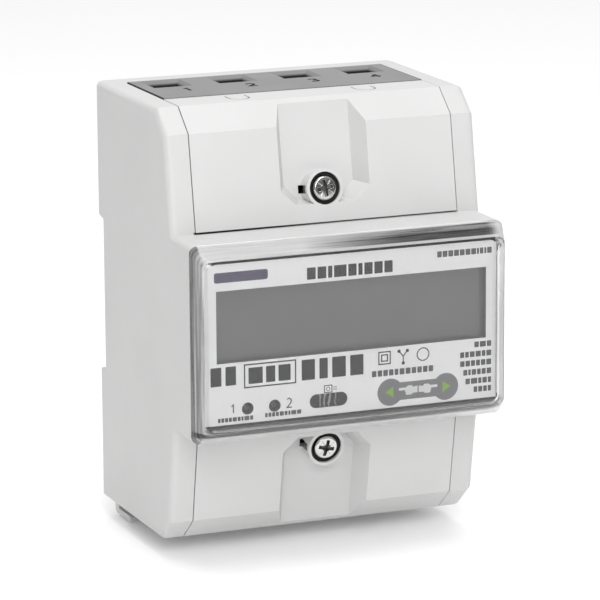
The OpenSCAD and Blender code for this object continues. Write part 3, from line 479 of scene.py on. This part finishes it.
# Nameplate: a white polyester sheet glued to the tray under the window, screen-printed with plain
# fields, a few simple signs, the lamps' numbers and the touch field.
PRINT_FILM, PRINT_LIFT, KEY_LIFT = 0.02, 0.004, 0.03
plate_film = moulded_plastic("plate film", (0.96, 0.96, 0.96), 0.4, mottle=0.005, depth=FINE)
finish_with(nodes["nameplate"], plate_film)
PRINT_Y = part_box("nameplate")[0].y
# Painted shade: the sheet's cut edges and the walls of its openings, behind its front face, are
# darker.
dim_where(plate_film, [("Y", PRINT_Y / MM + 0.04, PRINT_Y / MM + 0.12)], 0.88)


def ink(name, colour):
    """Screen ink: matt, with a faint unevenness of its tone and little gloss."""
    return duller(moulded_plastic(name, colour, 0.6, mottle=0.08, grain=4000.0, depth=FINE), 0.1)


def bar(x, z, width, height, corner, steps=4):
    """Outline of an upright rectangle with rounded corners, centred on x and z, in millimetres:
    four quarter circles joined by straight lines."""
    r = min(corner, width / 2, height / 2)
    turn = np.linspace(0, np.pi / 2, steps + 1)
    quarter = np.stack([np.cos(turn), np.sin(turn)], 1) * r
    corners = []
    for q, (sx, sz) in enumerate(((1, 1), (-1, 1), (-1, -1), (1, -1))):
        c, s = math.cos(q * math.pi / 2), math.sin(q * math.pi / 2)
        turned = quarter @ np.array([[c, s], [-s, c]])
        corners.append(turned + [x + sx * (width / 2 - r), z + sz * (height / 2 - r)])
    return np.concatenate(corners)


def line(points, width):
    """Outline of a pen stroke of the given width along a few points, square at its ends: the
    points moved to one side by half the width, then back along the other side."""
    p = np.asarray(points, float)
    ahead = np.diff(p, axis=0)
    ahead /= np.linalg.norm(ahead, axis=1, keepdims=True)
    side = np.stack([-ahead[:, 1], ahead[:, 0]], 1)
    joint = np.concatenate([side[:1], side[:-1] + side[1:], side[-1:]])
    joint /= (np.sum(joint * np.concatenate([side[:1], side]), 1))[:, None]
    return np.concatenate([p + joint * width / 2, (p - joint * width / 2)[::-1]])


def ring_outline(x, z, radius, width, steps=40):
    """Two outlines, outer and inner circle, of a printed ring."""
    turn = np.linspace(0, 2 * np.pi, steps, endpoint=False)
    unit = np.stack([np.cos(turn), np.sin(turn)], 1)
    return unit * (radius + width / 2) + [x, z], unit * (radius - width / 2) + [x, z]


def band(a, b, count):
    """Quads between two closed loops of count points each, which start at points a and b."""
    i = np.arange(count)
    k = (i + 1) % count
    return np.stack([a + i, a + k, b + k, b + i], -1).tolist()


def on_plate(front):
    """Places flat points u, v on an upright plane: x is u, z is v, and depth goes forwards."""
    return lambda flat, depth: np.stack([flat[:, 0], np.full(len(flat), front - depth),
                                         flat[:, 1]], 1)


def printed(name, outlines, material, rings=(), lay=on_plate(PRINT_Y), film=PRINT_FILM):
    """Thin printed film: each outline becomes a prism of film millimetres that lies on the plate,
    a hair above the one before, and each pair in rings a flat ring of the same thickness."""
    points, faces, start = [], [], 0
    for turn, outline in enumerate(outlines):
        flat = np.asarray(outline, float) * MM
        n = len(flat)
        points += [lay(flat, (film + PRINT_LIFT * (turn % 4)) * MM), lay(flat, -film * MM)]
        faces += [list(range(start, start + n)), list(range(start + n, start + 2 * n))[::-1]]
        faces += band(start, start + n, n)
        start += 2 * n
    for pair in rings:
        outer, inner = (np.asarray(loop) * MM for loop in pair)
        n = len(outer)
        points += [lay(loop, depth * MM) for depth in (film, -film) for loop in (outer, inner)]
        for a, b in ((0, 1), (2, 3), (0, 2), (1, 3)):
            faces += band(start + a * n, start + b * n, n)
        start += 4 * n
    return new_piece(name, np.concatenate(points), faces, "meter", material, smooth=False)


def word_blocks(edge, z, widths, height, gap, align):
    """A line of print as plain blocks: each block has one of the given widths, with a gap between
    blocks, set out from its right or from its left edge."""
    widths = np.array(widths)
    starts = np.concatenate([[0.0], np.cumsum(widths[:-1] + gap)])
    if align == "right":
        starts -= widths.sum() + gap * (len(widths) - 1)
    return [bar(edge + start + w / 2, z, w, height, 0.15) for start, w in zip(starts, widths)]


dark_ink = ink("dark ink", (0.016, 0.016, 0.017))
grey_ink = ink("grey ink", (0.085, 0.085, 0.088))
violet_ink = ink("violet grey ink", (0.085, 0.07, 0.135))
pad_ink = ink("pad ink", (0.21, 0.21, 0.22))
green_ink = ink("green ink", (0.26, 0.47, 0.05))
white_ink = ink("white ink", (0.80, 0.80, 0.79))

# The frame of the print: a dark strip along its foot and a fine grey line down its right edge,
# both painted shadow of the gaps beside the sheet, then the coloured field and the large blocks
# above the display.
printed("foot_shadow_strip", [bar(0.0, -18.35, 71.6, 0.5, 0.05)], dark_ink)
printed("side_shadow_strip", [bar(35.55, -0.2, 0.34, 36.0, 0.05)], grey_ink)
printed("violet_field", [bar(-26.9, 15.55, 12.8, 2.3, 0.5)], violet_ink)
printed("title_field", word_blocks(-11.1, 14.7, [2.1, 2.1, 1.0, 3.0, 2.0, 1.0, 2.0, 2.0, 2.0],
                                   2.7, 0.45, "left"), dark_ink)

# Small print: each line as its edge, its height on the plate, the blocks' widths and their height,
# the gap between them, and the edge that it is set out from.
COLUMN_X, LAMP_WIDTHS = 34.2, [0.6, 0.7, 0.7, 0.7, 1.0, 0.7, 0.5, 1.2]
SMALL_LINES = [
    (COLUMN_X, 16.35, [1.1, 1.2, 1.2, 1.2, 1.2, 1.2, 1.2, 0.5, 0.9, 0.5, 1.1], 1.35, 0.22, "right"),
    (COLUMN_X, -5.4, [1.1, 1.5, 1.1], 1.3, 0.25, "right"),
    (COLUMN_X, -7.6, [1.0, 0.9, 1.2, 1.3, 0.9, 1.2], 1.3, 0.25, "right"),
    (COLUMN_X, -9.7, [1.1, 1.1, 1.0, 1.0, 1.1, 1.2], 1.3, 0.25, "right"),
    (COLUMN_X, -11.8, [1.0, 0.6, 1.1, 0.9, 1.0, 1.1], 1.3, 0.25, "right"),
    (COLUMN_X, -13.9, [1.1, 1.6, 0.8, 1.1, 0.8], 1.3, 0.25, "right"),
    (COLUMN_X, -15.9, [0.9, 1.0, 0.9, 0.8], 1.3, 0.25, "right"),
    (4.6, -9.9, [1.1, 1.1, 1.1, 1.1, 0.9, 1.2, 1.2, 1.1, 1.1, 1.1, 1.1], 1.4, 0.3, "left"),
    (-32.7, -16.95, LAMP_WIDTHS + [0.7], 0.95, 0.2, "left"),
    (-21.4, -16.75, LAMP_WIDTHS + [1.0], 0.95, 0.2, "left"),
]
printed("small_print", [block for entry in SMALL_LINES for block in word_blocks(*entry)], grey_ink)

# Signs in dark ink: a framed field between two rows of large blocks, the double square, the star
# of three arms, a plain ring, and the numbers 1 and 2 of the lamps.
BOX_L, BOX_R, BOX_TOP, BOX_LOW = -26.25, -14.0, -4.75, -9.95
SIGN_Z, SQUARE_X, STAR_X, RING_X = -6.4, 7.7, 12.3, 17.2
ARM_LENGTH, DOT_AT, DOT_SIZE = 1.5, 1.6, 0.8
LAMP_ONE = [(-29.45, -14.0), (-29.0, -13.6), (-29.0, -15.5)]
LAMP_TWO = [(-16.1, -13.6), (-15.5, -13.4), (-15.05, -13.85), (-15.2, -14.5), (-16.1, -15.5),
            (-14.95, -15.5)]
signs = [line([(BOX_L, BOX_TOP), (BOX_R, BOX_TOP), (BOX_R, BOX_LOW), (BOX_L, BOX_LOW),
               (BOX_L, BOX_TOP + 0.15)], 0.3)]
signs += word_blocks(-25.3, -7.35, [3.4, 2.2, 2.9], 3.7, 0.8, "left")
signs += word_blocks(-12.5, -7.3, [3.2, 2.0, 3.3, 3.2], 4.7, 1.1, "left")
signs += word_blocks(-34.3, -6.95, [2.5, 2.5], 4.3, 1.0, "left")
for half in (1.4, 0.72):
    square = np.array([(-half, half), (half, half), (half, -half), (-half, -half),
                       (-half, half + 0.1)])
    signs.append(line(square + [SQUARE_X, SIGN_Z], 0.28))
for turn in (50, 130, 270):
    arm = np.array([math.cos(math.radians(turn)), math.sin(math.radians(turn))])
    signs.append(line([(STAR_X, SIGN_Z), arm * ARM_LENGTH + [STAR_X, SIGN_Z]], 0.25))
    signs.append(bar(*(arm * DOT_AT + [STAR_X, SIGN_Z]), DOT_SIZE, DOT_SIZE, DOT_SIZE / 2))
signs += [line(LAMP_ONE, 0.25), line(LAMP_TWO, 0.25)]
printed("plate_signs", signs, dark_ink, rings=[ring_outline(RING_X, SIGN_Z, 1.45, 0.26)])
port_marks = [line([(-7.0, -11.4), (-5.2, -11.4), (-5.2, -13.0), (-7.0, -13.0), (-7.0, -11.3)],
                   0.2)]
port_marks += [line([(-4.9, z), (-4.0, z)], 0.16) for z in (-11.9, -12.4)]
printed("port_sign", port_marks, dark_ink, rings=[ring_outline(-6.1, -12.2, 0.42, 0.14, 24)])

# Touch field: two round pads joined by a band, with a green arrow on each and a pair of pale
# pointing hands between them.
KEY_X, KEY_Z, PAD_R, WAIST = (9.1, 22.8), -14.5, 3.15, 2.05
ARROW_TIP, ARROW_BACK, ARROW_HALF = 1.25, 0.75, 1.25
HAND_X, HAND_SIZE = (13.55, 18.4), 1.2
HAND = np.array([(2.0, 0.35), (1.85, 0.62), (0.5, 0.62), (0.1, 0.95), (-0.75, 0.95), (-1.0, 0.6),
                 (-1.9, 0.75), (-1.9, -0.55), (-1.0, -0.55), (-0.6, -0.85), (0.35, -0.85),
                 (0.6, -0.6), (0.45, -0.35), (0.75, -0.2), (0.6, 0.1), (1.85, 0.1)])


def pad_outline():
    """Outline of the touch field: two discs joined by a band, as two arcs that start and end
    where the band's edges meet the discs."""
    open_angle = math.asin(WAIST / PAD_R)
    arcs = []
    for x, start in zip(KEY_X, (0.0, -np.pi)):
        turn = np.linspace(start + open_angle, start + 2 * np.pi - open_angle, 40)
        arcs.append(np.stack([x + PAD_R * np.cos(turn), KEY_Z + PAD_R * np.sin(turn)], 1))
    return np.concatenate(arcs)


printed("touch_pads", [pad_outline()], pad_ink)
over_pads = on_plate(PRINT_Y - KEY_LIFT * MM)
arrow = np.array([(ARROW_TIP, 0.0), (-ARROW_BACK, ARROW_HALF), (-ARROW_BACK, -ARROW_HALF)])
printed("key_arrows", [arrow * [way, 1] + [x, KEY_Z] for x, way in zip(KEY_X, (-1, 1))],
        green_ink, lay=over_pads)
printed("key_hands", [HAND * [way * HAND_SIZE, HAND_SIZE] + [x, KEY_Z]
                      for x, way in zip(HAND_X, (-1, 1))], white_ink, lay=over_pads)


# Terminal numbers: plain numbers pad-printed in black on the roof of each terminal block, one in
# front of every wire entry, upright when they are read from the front.
DIGITS = {
    1: [[(-0.6, 1.0), (0.1, 1.6), (0.1, -1.6)]],
    2: [[(-0.9, 1.0), (-0.4, 1.6), (0.4, 1.6), (0.9, 1.0), (0.8, 0.3), (-0.9, -1.45),
         (1.0, -1.45)]],
    3: [[(-0.8, 1.3), (-0.2, 1.6), (0.5, 1.5), (0.8, 0.9), (0.5, 0.3), (0.0, 0.15)],
        [(0.0, 0.15), (0.7, -0.2), (0.9, -0.9), (0.4, -1.5), (-0.3, -1.6), (-0.9, -1.2)]],
    4: [[(0.4, 1.6), (0.4, -1.6)], [(0.3, 1.4), (-1.0, -0.7), (1.1, -0.7)]],
}
STAMP_D, STAMP_PITCH, STAMP_SHIFT, STROKE, STAMP_FILM = 16.6, 15.6, 0.8, 0.65, 0.03
stamp_black = duller(moulded_plastic("stamp black", (0.015, 0.015, 0.015), 0.7, mottle=0.15,
                                     depth=FINE), 0.1)
strokes = [line(np.array(shape) + [(number - 2.5) * STAMP_PITCH + STAMP_SHIFT, -STAMP_D], STROKE)
           for number, shapes in DIGITS.items() for shape in shapes]


def on_roof(level, way):
    """Places flat points u, v on a level plane: x is u, y is v, and depth goes out of the roof."""
    return lambda flat, depth: np.stack([flat[:, 0], flat[:, 1],
                                         np.full(len(flat), level + way * depth)], 1)


for side, corner, way in (("upper", 1, 1), ("lower", 0, -1)):
    roof = on_roof(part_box(f"{side}_terminal_block")[corner].z, way)
    printed(f"{side}_terminal_numbers", strokes, stamp_black, lay=roof, film=STAMP_FILM)


# Window: clear polycarbonate moulded as a shallow box, welded to the rim of the platform. Its
# sides slant in towards the flat front, so they bend and double what lies behind them.
WINDOW_HALF_W, WINDOW_HALF_H = 38.0, 22.6
WINDOW_FOOT, WINDOW_RIM, WINDOW_FRONT = 57.03, 57.8, 62.4
WINDOW_WALL, WINDOW_GLAZE, WINDOW_CORNER = 1.5, 1.6, 1.8
SIDE_SLANT, TOP_SLANT, WINDOW_EDGE = 1.5, 3.2, 0.6
INNER_CUT, RIM_CUT, RIM_STEP, CREASE_ANGLE, CORNER_STEPS = 0.3, 0.15, 0.06, 24, 7
RIM_FACING, FRONT_FACING, STRIP_X = 0.75, 0.9, 34.9
CLEAR_GRAIN, STREAK_GRAIN, MILKY = 120.0, (45.0, 1700.0, 45.0), 0.6
STREAK_STOPS = (0.38, 0.60)


def clear_plastic(name, smooth=0.01, rough=0.05):
    """Clear polycarbonate: full transmission at its index of refraction, with a faint noise in
    the roughness where the mould is less polished."""
    material, tree, shader, place = fresh_material(name)
    shader.inputs["Base Color"].default_value = (1.0, 1.0, 1.0, 1)
    shader.inputs["Transmission Weight"].default_value = 1.0
    shader.inputs["IOR"].default_value = 1.5
    gloss_from(tree, noise_of(tree, place, CLEAR_GRAIN), smooth, rough, shader)
    return duller(material, 0.25)


def frame_loop(d, inset):
    """Rounded rectangle of the window at distance d in front of the rail: its half sizes shrink
    with the slants from the rim to the front, and its corners are quarter circles."""
    share = max(0.0, (d - WINDOW_RIM) / (WINDOW_FRONT - WINDOW_RIM))
    a = WINDOW_HALF_W - share * SIDE_SLANT - inset
    b = WINDOW_HALF_H - share * TOP_SLANT - inset
    outline = bar(0.0, 0.0, 2 * a, 2 * b, WINDOW_CORNER, CORNER_STEPS)
    return np.stack([outline[:, 0], np.full(len(outline), -d), outline[:, 1]], 1)


def window_shell(name, material):
    """Window as a run of rounded rectangles: up the outside, round the front edge on a quarter
    circle to a flat front, and back down the inside, whose foot ring closes it."""
    round_off = np.radians(np.linspace(0, 90, 6))
    outer = [frame_loop(WINDOW_FOOT, 0.0), frame_loop(WINDOW_RIM - RIM_CUT, 0.0),
             frame_loop(WINDOW_RIM, RIM_STEP)]
    outer += [frame_loop(WINDOW_FRONT - WINDOW_EDGE * (1 - math.sin(t)),
                         WINDOW_EDGE * (1 - math.cos(t))) for t in round_off]
    outer.append(frame_loop(WINDOW_FRONT, WINDOW_EDGE + WINDOW_WALL))
    inner = [frame_loop(WINDOW_FRONT - WINDOW_GLAZE, WINDOW_WALL + INNER_CUT),
             frame_loop(WINDOW_FRONT - WINDOW_GLAZE - INNER_CUT, WINDOW_WALL),
             frame_loop(WINDOW_RIM, WINDOW_WALL), frame_loop(WINDOW_FOOT, WINDOW_WALL)]
    loops = outer + inner
    m = len(loops[0])
    faces = []
    for ring in range(len(loops)):
        if ring != len(outer) - 1:
            faces += band(ring * m, ((ring + 1) % len(loops)) * m, m)
    for start in ((len(outer) - 1) * m, len(outer) * m):
        faces.append(list(range(start, start + m)))
    piece = new_piece(name, np.concatenate(loops) * MM, faces, "meter", material)
    creases = bmesh.new()
    creases.from_mesh(piece.data)
    for edge in creases.edges:
        edge.smooth = edge.calc_face_angle(0.0) < math.radians(CREASE_ANGLE)
    creases.to_mesh(piece.data)
    creases.free()
    return piece


# Painted shade and painted dark reflections in the window's walls: the darker tones, lowest and
# highest, and the ramps that bound each: the left end, its rim, the front of the lower wall, and
# two bands that cross the upper wall.
WALL_TONE = (0.86, 1.0)
WALL_SHADE_CASTS = [
    ((0.36, 0.80), [("X", -36.2, -36.6)]),
    ((0.16, 0.40), [("X", -36.2, -36.6), ("Y", -58.9, -58.5)]),
    ((0.00, 0.22), [("Z", -20.9, -20.4), ("Z", -19.2, -19.5), ("X", 37.0, 33.0)]),
    ((0.08, 0.45), [("Z", 20.1, 20.3), ("Z", 22.45, 22.3), ("X", -12.0, 12.0),
                    ("X", 36.3, 33.5)]),
    ((0.00, 0.14), [("Z", 20.1, 20.3), ("Z", 21.5, 21.2), ("X", -12.0, 12.0),
                    ("X", 36.0, 32.5)]),
]


def streaked_rim(name):
    """The window's walls: the clear plastic, milky from its spark texture, its tone streaked by a
    stretched noise, with grey casts of painted shade and painted dark reflections laid over it in
    the same streaks. Each cast is laid over the last."""
    material = clear_plastic(name, 0.06, 0.16)
    tree = material.node_tree
    shader = tree.nodes["Principled BSDF"]
    shader.inputs["Transmission Weight"].default_value = MILKY
    place = tree.nodes.new("ShaderNodeTexCoord").outputs["Object"]
    streaks = noise_of(tree, stretched(tree, place, STREAK_GRAIN), 1.0, 3.0)
    tone = shades_of(tree, streaks, *((grey,) * 3 for grey in WALL_TONE), *STREAK_STOPS)
    for greys, ramps in WALL_SHADE_CASTS:
        cast = shades_of(tree, streaks, *((grey,) * 3 for grey in greys), *STREAK_STOPS)
        mixed = tree.nodes.new("ShaderNodeMix")
        mixed.data_type = "RGBA"
        tree.links.new(ramp_share(tree, ramps), mixed.inputs["Factor"])
        tree.links.new(tone, mixed.inputs["A"])
        tree.links.new(cast, mixed.inputs["B"])
        tone = mixed.outputs["Result"]
    tree.links.new(tone, shader.inputs["Base Color"])
    return material


window = window_shell("window_shell", clear_plastic("clear polycarbonate"))
window.data.materials.append(streaked_rim("window rim"))
for face in window.data.polygons:
    right_strip = face.normal.y < -FRONT_FACING and face.center.x > STRIP_X * MM
    face.material_index = int(abs(face.normal.y) < RIM_FACING or right_strip)
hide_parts("front_window")


# Terminal covers: thin snap-in mouldings of the housing's plastic, with a sunken middle, a boss
# for the seal screw and a small window for the seal wire. Painted shade darkens their feet and
# the housing under them, for the shadow in the gap beneath their feet.
COVER_EDGE, FOOT_SHADE_DEPTH = 0.25, 0.95
COVER_FOOT_SHADE = [("|Z|", 23.1, 22.9)]
HOUSING_FOOT_SHADE = [("|Z|", 22.4, 22.55), ("|Z|", 23.2, 23.0), ("Y", -45.9, -45.7), ("|X|", 32.7, 32.5)]
cover_plastic = moulded_plastic("cover plastic", (0.615, 0.615, 0.612), 0.48)
# Painted shade at the feet: along the left part of the upper cover and all of the lower one.
for reach in ([("Z", 0.0, 10.0), ("X", 4.0, -20.0)], [("Z", 0.0, -10.0)]):
    dim_where(cover_plastic, COVER_FOOT_SHADE + reach, FOOT_SHADE_DEPTH)
    dim_where(housing_plastic, HOUSING_FOOT_SHADE + reach, FOOT_SHADE_DEPTH)
for side in ("upper", "lower"):
    softened(f"{side}_terminal_cover", f"{side}_cover_moulding", "meter",
             cover_plastic, COVER_EDGE)


# Cover screws: nickel-plated pan heads with a cross recess, in their bosses and square to the
# sloping covers, with a darker steel on the recess's deep faces as painted shade. A black plastic
# ring round each head, shaped as a ring that holds the screw in the cover, puts painted shade in
# the well round the head.
FOOT_D, FOOT_Z, CREST_D, CREST_Z = 45.75, 22.6, 41.85, 44.85
SLOPE_LEAN = math.atan2(FOOT_D - CREST_D, CREST_Z - FOOT_Z)
BOSS_RISE = 7.9
HEAD_R, HEAD_T, HEAD_SINK, HEAD_ROWS, HEAD_STEPS = 2.8, 1.8, 0.3, (74, 10), 240
DOME_TOP, DOME_FALL, ROLL_AT, ROLL_FALL = 0.25, 0.22, 0.84, 0.35
ARM_HALF, ARM_SLOPE, ARM_REACH, REACH_SLOPE = 0.43, 0.09, 1.95, 0.14
CROSS_DEPTH, CROSS_RISE, PIT_R, PIT_SLOPE, PIT_DEPTH = 1.45, 0.4, 0.95, 0.2, 1.5
TICK_HALF, TICK_SLOPE, TICK_DEPTH, TICK_FROM, TICK_TO = 0.14, 0.08, 0.16, 1.0, 2.1
SUNK_DEPTH, UPPER_TURN, LOWER_TURN = 0.3, 9, 12
nickel = plated_steel("bright nickel", (0.66, 0.655, 0.64), 0.2, wear=0.08)
# Painted shade: a dark copy of the plated steel for the deep faces of the cross recess.
recess_shade_steel = plated_steel("shaded recess", (0.17, 0.17, 0.17), 0.5)


def on_boss(points, up):
    """Carries points from a screw's own frame, whose z leaves the head, to its boss: tilted by
    the lean of the slope, moved to the boss, and mirrored in z for the lower cover."""
    tilt = Matrix.Rotation(math.pi / 2 - SLOPE_LEAN, 3, "X")
    seat = np.array([0.0, -(FOOT_D - BOSS_RISE * math.tan(SLOPE_LEAN)), FOOT_Z + BOSS_RISE])
    return (points @ np.array(tilt).T + seat) * [1, 1, 1 if up else -1] * MM


def screw_head(name, up):
    """Head of a cover screw as a height over radius r and angle a: a shallow dome that rolls off
    at its rim, less a cross whose floor rises outwards, a middle pit and four fine cuts along
    the diagonals."""
    radii = np.concatenate([np.linspace(0.0, 0.9, HEAD_ROWS[0]),
                            np.linspace(0.91, 1.0, HEAD_ROWS[1])]) * HEAD_R
    turn = np.linspace(0, 2 * np.pi, HEAD_STEPS, endpoint=False)
    r, a = np.meshgrid(radii, turn, indexing="ij")
    x, y = r * np.cos(a), r * np.sin(a)
    rolled = np.clip((r / HEAD_R - ROLL_AT) / (1 - ROLL_AT), 0, 1)
    dome = DOME_TOP - DOME_FALL * (r / HEAD_R) ** 2 - ROLL_FALL * rolled ** 2
    arm = np.minimum(np.abs(x), np.abs(y))
    reach = np.maximum(np.abs(x), np.abs(y))
    cross = (np.clip((ARM_HALF - arm) / ARM_SLOPE, 0, 1)
             * np.clip((ARM_REACH - reach) / REACH_SLOPE, 0, 1)
             * (CROSS_DEPTH - CROSS_RISE * reach))
    pit = np.clip((PIT_R - r) / PIT_SLOPE, 0, 1) * PIT_DEPTH
    diagonal = np.abs(np.abs(x) - np.abs(y)) / 1.414
    tick = (np.clip((TICK_HALF - diagonal) / TICK_SLOPE, 0, 1) * TICK_DEPTH
            * np.clip((r - TICK_FROM) / 0.1, 0, 1) * np.clip((TICK_TO - r) / 0.1, 0, 1))
    height = dome - np.maximum(np.maximum(cross, pit), tick)
    top = np.stack([x, y, height], -1).reshape(-1, 3)
    under = np.stack([HEAD_R * np.cos(turn), HEAD_R * np.sin(turn),
                      np.full_like(turn, -HEAD_T)], 1)
    n, m = r.shape
    quads = grid_quads(n, m)
    faces = quads.tolist() + band((n - 1) * m, n * m, m) + [list(range(n * m, n * m + m))]
    spin = Matrix.Rotation(math.radians(UPPER_TURN if up else LOWER_TURN), 3, "Z")
    spun = np.concatenate([top, under]) @ np.array(spin).T
    piece = new_piece(name, on_boss(spun - [0, 0, HEAD_SINK], up), faces, "meter",
                      nickel)
    piece.data.materials.append(recess_shade_steel)
    # Painted shade: faces sunk deeper than SUNK_DEPTH below the dome get the dark recess steel.
    deep = np.zeros(len(faces), dtype=np.int32)
    deep[:len(quads)] = (dome - height).reshape(-1)[quads].mean(1) > SUNK_DEPTH
    piece.data.polygons.foreach_set("material_index", deep)
    merge = bmesh.new()
    merge.from_mesh(piece.data)
    bmesh.ops.remove_doubles(merge, verts=merge.verts, dist=1e-7)
    bmesh.ops.recalc_face_normals(merge, faces=merge.faces)
    merge.to_mesh(piece.data)
    merge.free()
    return piece


heads = [screw_head("upper_cover_screw", True), screw_head("lower_cover_screw", False)]
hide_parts("cover_screws")
# Painted shade: black rings round the heads darken the wells of the bosses.
RING_IN, RING_OUT, RING_TOP, RING_T, RING_CUT, RING_STEPS = 2.85, 3.77, -1.0, 1.0, 0.25, 96
ring_plastic = duller(moulded_plastic("black ring plastic", (0.012, 0.012, 0.012), 0.6,
                                      mottle=0.2), 0.2)


def shade_ring(name, up):
    """Ring round a screw head: its section, a square with one corner cut, is carried round the
    axis of the boss on a full circle."""
    section = np.array([(RING_IN, RING_TOP - RING_T), (RING_OUT, RING_TOP - RING_T),
                        (RING_OUT, RING_TOP), (RING_IN + RING_CUT, RING_TOP),
                        (RING_IN, RING_TOP - RING_CUT)])
    corners = len(section)
    turn = np.linspace(0, 2 * np.pi, RING_STEPS, endpoint=False)
    points = np.stack([section[None, :, 0] * np.cos(turn)[:, None],
                       section[None, :, 0] * np.sin(turn)[:, None],
                       np.broadcast_to(section[:, 1], (RING_STEPS, corners))], -1).reshape(-1, 3)
    faces = grid_quads(RING_STEPS, corners, closed_columns=True).tolist()
    return new_piece(name, on_boss(points, up), faces, "meter", ring_plastic)


shade_ring("upper_shade_ring", True)
shade_ring("lower_shade_ring", False)


# Studio: a pale sweep under the meter, a surround that is bright behind it and above, and two
# soft lights from above the front, so that the lower faces stay a shade darker.
FLOOR_DROP, FLOOR_HALF, FLOOR_GREY, FLOOR_GLOW = 0.0005, 6.0, 0.93, 0.12
SKY_LOBES = (((0.376, 0.927, 0.0), 0.8, 0.69), ((0.0, 0.0, 1.0), 0.9, 0.66))
LIGHT_AIM, LIGHT_SIZE = (0, -0.03, 0), 0.7
SOFT_LIGHTS = (("key_light", (-0.35, -1.10, 0.66), 8.3), ("top_light", (0.0, -0.35, 1.25), 6.8))
floor_z = cad_box[0].z - FLOOR_DROP
floor_mesh = bpy.data.meshes.new("studio_floor")
floor_mesh.from_pydata([(-FLOOR_HALF, -FLOOR_HALF, floor_z), (FLOOR_HALF, -FLOOR_HALF, floor_z),
                        (FLOOR_HALF, FLOOR_HALF, floor_z), (-FLOOR_HALF, FLOOR_HALF, floor_z)],
                       [], [(0, 1, 2, 3)])
floor = bpy.data.objects.new("studio_floor", floor_mesh)
bpy.context.scene.collection.objects.link(floor)
studio_paper = moulded_plastic("studio paper", (FLOOR_GREY,) * 3, 0.9, mottle=0.0)
paper_glow = studio_paper.node_tree.nodes["Principled BSDF"]
paper_glow.inputs["Emission Color"].default_value = (1.0, 1.0, 1.0, 1.0)
paper_glow.inputs["Emission Strength"].default_value = FLOOR_GLOW
finish_with(floor, studio_paper)

bpy.context.scene.view_settings.view_transform = "Standard"
world = bpy.data.worlds.new("studio")
bpy.context.scene.world = world
world.use_nodes = True
sky = world.node_tree
back = sky.nodes["Background"]
back.inputs["Color"].default_value = (1.0, 1.0, 1.0, 1.0)
where = sky.nodes.new("ShaderNodeTexCoord")
both = sky.nodes.new("ShaderNodeMath")
both.operation = "ADD"
for entry, (way, full_at, strength) in zip(both.inputs, SKY_LOBES):
    toward = sky.nodes.new("ShaderNodeVectorMath")
    toward.operation = "DOT_PRODUCT"
    toward.inputs[1].default_value = way
    sky.links.new(where.outputs["Generated"], toward.inputs[0])
    lobe = sky.nodes.new("ShaderNodeMapRange")
    lobe.interpolation_type = "SMOOTHSTEP"
    lobe.inputs["From Max"].default_value = full_at
    lobe.inputs["To Max"].default_value = strength
    sky.links.new(toward.outputs["Value"], lobe.inputs["Value"])
    sky.links.new(lobe.outputs["Result"], entry)
sky.links.new(both.outputs["Value"], back.inputs["Strength"])

for name, place, power in SOFT_LIGHTS:
    data = bpy.data.lights.new(name, "AREA")
    data.shape = "SQUARE"
    data.size = LIGHT_SIZE
    data.energy = power
    lamp = bpy.data.objects.new(name, data)
    bpy.context.scene.collection.objects.link(lamp)
    lamp.location = place
    lamp.rotation_mode = "QUATERNION"
    lamp.rotation_quaternion = (Vector(LIGHT_AIM) - Vector(place)).to_track_quat("-Z", "Y")


# Camera: the photograph's viewpoint, from the left and a little above, with a long lens. Its
# focal length is given in pixels of the 600-pixel picture.
YAW, PITCH, ROLL = math.radians(22.106), math.radians(12.724), math.radians(-0.346)
FOCAL_PIXELS, PICTURE_PIXELS, SENSOR = 3927.66, 600.0, 36.0
CAMERA_PLACE = (-0.33438, -0.79228 - 0.05945, 0.20183)
camera_data = bpy.data.cameras.new("camera")
camera_data.sensor_width = SENSOR
camera_data.lens = FOCAL_PIXELS * SENSOR / PICTURE_PIXELS
camera_data.clip_start, camera_data.clip_end = 0.05, 20.0
camera = bpy.data.objects.new("camera", camera_data)
bpy.context.scene.collection.objects.link(camera)
ahead = Vector((math.sin(YAW) * math.cos(PITCH), math.cos(YAW) * math.cos(PITCH),
                -math.sin(PITCH)))
level_right = Vector((math.cos(YAW), -math.sin(YAW), 0.0))
level_up = level_right.cross(ahead)
right = level_right * math.cos(ROLL) + level_up * math.sin(ROLL)
up = level_up * math.cos(ROLL) - level_right * math.sin(ROLL)
turned = Matrix((right, up, -ahead)).transposed().to_4x4()
turned.translation = Vector(CAMERA_PLACE)
camera.matrix_world = turned
bpy.context.scene.camera = camera
